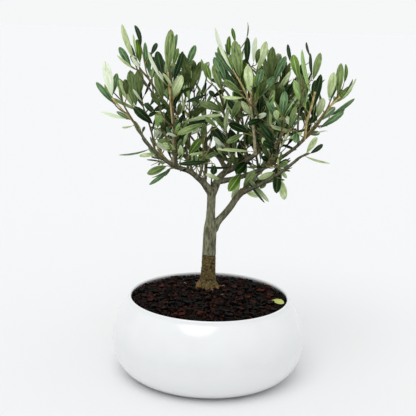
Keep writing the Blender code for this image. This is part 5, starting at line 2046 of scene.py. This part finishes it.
def dress_seen_stem(stem, number):
    """Crossed pairs of leaves and short shoots up one of the stems that show."""
    placed = []
    rng = Random(number + SEEN_STEM_SEED)
    count = round(run_of(stem.path) / SEEN_STEM_GAP)
    turn = rng.uniform(0, math.pi)
    for k in range(count):
        share = (k + SEEN_STEM_FIRST) / count * SEEN_STEM_TOP
        point, along = at_share(stem.path, share)
        turn += math.pi / 2 + about(rng, FINER_WAVER)
        for side in (0, math.pi):
            outward = square_to(along, turn + side)
            if rng.random() < SEEN_STEM_SHOOT_RATE:
                shoot, leaves = short_shoot(point, along, outward, rng)
                age = SEEN_STEM_SHOOT_AGES[0] - SEEN_STEM_SHOOT_AGES[1] * share
                grow_shoot(None, shoot, leaves, 0, age, placed, rng)
            angle = leaf_angle(share) + about(rng, LEAF_ANGLE_WAVER)
            size = LEAF_LENGTH * rng.uniform(*SEEN_STEM_LEAVES)
            leaf = Leaf(point, along, outward, angle, size, about(rng, LEAF_ROLL))
            add_leaf(None, leaf, stem.path, 0, 1 - share, placed, rng)


def leaf_pattern():
    """A leaf laid out flat as a closed shell: across on X, along on Z, and face up or down on Y."""
    shape = bmesh.new()
    last = len(LEAF_ROWS) - 1
    for side, columns in LEAF_COLUMNS.items():
        ends = len(columns) - 1
        sheet = bmesh.ops.create_grid(shape, x_segments=ends, y_segments=last, size=1)
        for vert in sheet["verts"]:
            i = round((vert.co.x + 1) / 2 * ends)
            j = round((vert.co.y + 1) / 2 * last)
            if j in (0, last):
                vert.co = (0, 0, LEAF_ROWS[j])
            else:
                vert.co = (columns[i], 0 if i in (0, ends) else side, LEAF_ROWS[j])
    bmesh.ops.remove_doubles(shape, verts=shape.verts, dist=LEAF_WELD)
    bmesh.ops.recalc_face_normals(shape, faces=shape.faces)
    return pattern_of(shape)


def leaf_half_width(share):
    """Half the breadth at a share of the length: a stalk, then widest beyond half, then blunt."""
    whole = LEAF_SWELL + LEAF_BLUNTNESS
    peak = (LEAF_SWELL / whole) ** LEAF_SWELL * (LEAF_BLUNTNESS / whole) ** LEAF_BLUNTNESS
    return np.maximum(share**LEAF_SWELL * (1 - share) ** LEAF_BLUNTNESS / peak, LEAF_STALK)


def drawn_leaves(blades, points):
    """Each leaf's own points: the pattern cut to outline, folded, twisted, arched and put in place."""
    across, side, along = points.T
    shapes = np.array([(blade.width, blade.arch, blade.fold, blade.twist) for blade in blades])
    width, arch, fold, twist = shapes.T[..., None]
    arch = np.where(abs(arch) < LEAST_ARCH, LEAST_ARCH, arch)
    x = across * leaf_half_width(along) * width / 2
    rib = np.exp(-((across / RIB_BREADTH) ** 2))
    top = UPPER_PAD * (1 - across**2) - RIB_SINK * rib
    under = -UNDER_PAD * (1 - across**2) - RIB_STAND * rib
    thickness = np.minimum(1, along * (1 - along) * END_FULLNESS)
    y = np.where(side > 0, top, np.where(side < 0, under, 0)) * thickness
    y = y + abs(x) * np.tan(fold) - EDGE_ROLL * across**4 * np.sin(math.pi * along)
    turn = twist * along
    x, y = x * np.cos(turn) - y * np.sin(turn), x * np.sin(turn) + y * np.cos(turn)
    bend = arch * (along - 0.5)
    chord = 2 * np.sin(arch / 2) / arch
    z = 0.5 + (np.sin(bend) / arch - y * np.sin(bend)) / chord
    y = (np.cos(arch / 2) - np.cos(bend)) / arch / chord + y * np.cos(bend)
    turns, offsets = arrays_of(blade.frame for blade in blades)
    return np.einsum("nij,nkj->nki", turns, np.stack([x, y, z], axis=2)) + offsets


blades = [blade for _, blade in seen_blades]
for name, spray in SPRAYS.items():
    dress_twigs(name, spray)
for number, stem in enumerate(seen_stems):
    dress_seen_stem(stem, number)
for number, name in enumerate(LIMBS):
    if name != "dead_stub":
        dress_bough(name, number)

# Each tone has three finishes one after the other: for the upper face, the under one and the midrib.
UPPER, UNDER, RIB = range(3)
leaf_points, leaf_faces = leaf_pattern()
face_middles = np.array([leaf_points[face].mean(axis=0) for face in leaf_faces])
face_finish = np.where(face_middles[:, 1] > 0, UPPER, UNDER)
face_finish[abs(face_middles[:, 0]) < RIB_EDGE] = RIB
tone_numbers = {tone: 3 * number for number, tone in enumerate(LEAF_TONES)}


def leaf_finish(name, tones, rib, roughness, shine):
    """A leaf's face: streaked lengthwise, with painted shade by its stalk, and as pale as the midrib along
    its edge, partly its own paler edge and partly a painted highlight.
    """
    finish = surface(
        name, tones, patch=3 * MM, grain=1 * MM, roughness=roughness, relief=0.12 * MM,
        stretch=(1, LEAF_STREAK, 1), shine=shine, by="UV",
    )
    nodes = finish.node_tree.nodes
    along = nodes.new("ShaderNodeSeparateXYZ")
    shade = added(nodes, "MapRange", {"From Min": STALK_SHADE_REACH, "From Max": 0, "To Max": STALK_SHADE})
    rim_and_highlight = added(nodes, "MapRange", {"From Min": RIM_AND_HIGHLIGHT_FROM, "To Max": RIM_AND_HIGHLIGHT_STRENGTH})
    linked(
        finish.node_tree.links,
        (nodes.new("ShaderNodeUVMap").outputs["UV"], along.inputs["Vector"]),
        (along.outputs["Y"], shade.inputs["Value"]),
        (mark_on(finish, "pale_rim_and_highlight"), rim_and_highlight.inputs["Value"]),
    )
    # Painted shade towards the stalk.
    tint_over(finish, shade.outputs["Result"], tones[0])
    # A pale edge, partly the leaf's own colour and partly a painted highlight.
    tint_over(finish, rim_and_highlight.outputs["Result"], rib)
    return finish


leaf_finishes = []
for tone, (top_dark, top_light, under_dark, under_light, rib) in LEAF_TONES.items():
    pale_rib = tuple(channel * RIB_PALER for channel in rib)
    glossy, dull = LEAF_SHINES
    leaf_finishes += [
        leaf_finish(f"{tone}_leaf_upper", (top_dark, top_light), rib, roughness=(0.34, 0.5), shine=glossy),
        leaf_finish(
            f"{tone}_leaf_under", (under_dark, under_light), pale_rib, roughness=(0.6, 0.8), shine=dull
        ),
        leaf_finish(f"{tone}_leaf_rib", (rib, pale_rib), rib, roughness=(0.5, 0.7), shine=glossy),
    ]


def add_leaves(name, blades, *nodes):
    """Joins leaves into one piece that stands for these nodes."""
    first = np.array([tone_numbers[blade.tone] for blade in blades])
    points = drawn_leaves(blades, leaf_points)
    leaves = repeated(name, points, leaf_faces, leaf_finishes, first[:, None] + face_finish)
    lengths = np.array([[blade.frame.to_scale().z] for blade in blades])
    widths = np.array([[blade.width] for blade in blades])
    apart = np.arange(len(blades))[:, None] * LEAF_APART
    across, _, along = leaf_points.T
    flat = np.stack([across * (lengths * widths) / 2 + apart, along * lengths], axis=2)
    corners = np.empty(len(leaves.data.loops), dtype=int)
    leaves.data.loops.foreach_get("vertex_index", corners)
    leaves.data.uv_layers.new(name="lie").uv.foreach_set("vector", flat.reshape(-1, 2)[corners].ravel())
    # Marks the leaf's outline for its pale edge, partly own colour and partly painted highlight.
    rim_and_highlight_marks = np.tile((abs(across) == 1).astype(float), len(blades))
    leaves.data.attributes.new("pale_rim_and_highlight", "FLOAT", "POINT").data.foreach_set("value", rim_and_highlight_marks)
    leaves.data.set_sharp_from_angle(angle=LEAF_CREASE)
    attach(leaves, "root")
    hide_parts(*nodes)
    return leaves


def side_of(name):
    if "left" in name:
        return "left"
    return "right" if "right" in name else "middle"


parts = {"left": [], "middle": [], "right": []}
for blade in blades:
    x = blade.frame.translation.x
    parts["left" if x < LEFT_PART else "right" if x > RIGHT_PART else "middle"].append(blade)
for part, part_blades in parts.items():
    nodes = [name for name in SPRAYS if side_of(name) == part]
    add_leaves(f"leaves_{part}", part_blades, *nodes)


# Twigs
# The wood that bears the leaves, each run drawn up to its highest leaf and swollen at every pair of
# buds. Stems that show are grey-green and tan, the ones behind them brown, short shoots greener.

BUD_ROOM = 1.35 * MM  # the radius below which a run of wood is young
NODE_SWELLING = 0.22
NODE_SWELLING_RUN = 1.6 * MM
WOOD_GRAIN = 0.8 * MM

# Each finish: its two tones, the breadth of its patches, its roughness, its relief and its shine.
WOOD_FINISHES = {
    "grey_green_wood": (((0.170, 0.148, 0.078), (0.58, 0.52, 0.34)), 4 * MM, (0.6, 0.85), 0.12 * MM, 0.25),
    "tan_wood": (((0.240, 0.165, 0.045), (0.66, 0.53, 0.25)), 5 * MM, (0.5, 0.75), 0.08 * MM, 0.2),
    "brown_wood": (((0.030, 0.026, 0.010), (0.200, 0.175, 0.085)), 4 * MM, (0.6, 0.85), 0.1 * MM, 0.1),
    "shoot_wood": (((0.075, 0.066, 0.020), (0.330, 0.290, 0.120)), 4 * MM, (0.6, 0.8), 0.06 * MM, 0.1),
}

# Which of them a run of wood has where it is thick and where it is thin.
WOOD_AGES = {"old": (0, 1), "young": (1, 1), "brown": (2, 2), "green": (3, 3)}


def jointed(run):
    """A run of wood's radii: an even taper with a swelling at each pair of buds."""
    length = run_of(run.path)
    radii = []
    for share in shares(len(run.path)):
        to_node = abs(((1 - share) * length + run.node_gap / 2) % run.node_gap - run.node_gap / 2)
        swelling = 1 + NODE_SWELLING * bell(to_node / NODE_SWELLING_RUN)
        radii.append(between(run.root_radius, run.tip_radius, share) * swelling)
    return radii


twig_shape = bmesh.new()
for run in wood:
    top = math.ceil(tops.get(id(run.path), 0) * (len(run.path) - 1))
    path, radii = run.path[: top + 1], jointed(run)[: top + 1]
    if top < 2:
        continue
    older, younger = WOOD_AGES[run.age]
    turns_young = next((i for i, radius in enumerate(radii) if radius < BUD_ROOM), top)
    if turns_young > 1:
        tube(twig_shape, path[: turns_young + 1], radii[: turns_young + 1], ROUND_SIDES, finish=older)
    start = max(turns_young - 1, 0)
    if top > start:
        tube(twig_shape, path[start:], radii[start:], ROUND_SIDES, finish=younger)
bmesh.ops.recalc_face_normals(twig_shape, faces=twig_shape.faces)
wood_finishes = []
for name, (tones, patch, roughness, relief, shine) in WOOD_FINISHES.items():
    wood_finishes.append(surface(name, tones, patch, WOOD_GRAIN, roughness, relief, shine=shine))
twigs = shown("twigs", twig_shape, *wood_finishes)
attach(twigs, "root")
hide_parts(*SPRAYS)


# Fallen leaf
# One small yellow-green leaf has dropped on the lava near the rim, on the right.

FALLEN_LEAF_BASE = Vector((77.5 * MM, -14 * MM, 0))
FALLEN_LEAF_TIP = Vector((92 * MM, -25 * MM, 0))
FALLEN_LEAF_LIFT = 2.6 * MM
FALLEN_LEAF_UPPER = Vector((-0.2, -0.5, 0.85))  # the way its upper face looks
FALLEN_LEAF_WIDTH = 0.40  # of its length
FALLEN_LEAF_ARCH = -0.5
FALLEN_LEAF_FOLD = 0.1
FALLEN_LEAF_TWIST = 0.2

fallen_reach = FALLEN_LEAF_TIP - FALLEN_LEAF_BASE
fallen_middle = (FALLEN_LEAF_BASE + FALLEN_LEAF_TIP) / 2
fallen_root = FALLEN_LEAF_BASE + UP * (soil_height(fallen_middle.length) + FALLEN_LEAF_LIFT)
fallen = Blade(
    set_out(fallen_root, fallen_reach.normalized(), FALLEN_LEAF_UPPER.normalized(), fallen_reach.length),
    "fallen", FALLEN_LEAF_WIDTH, FALLEN_LEAF_ARCH, FALLEN_LEAF_FOLD, FALLEN_LEAF_TWIST,
)
add_leaves("fallen_leaf", [fallen], "soil")
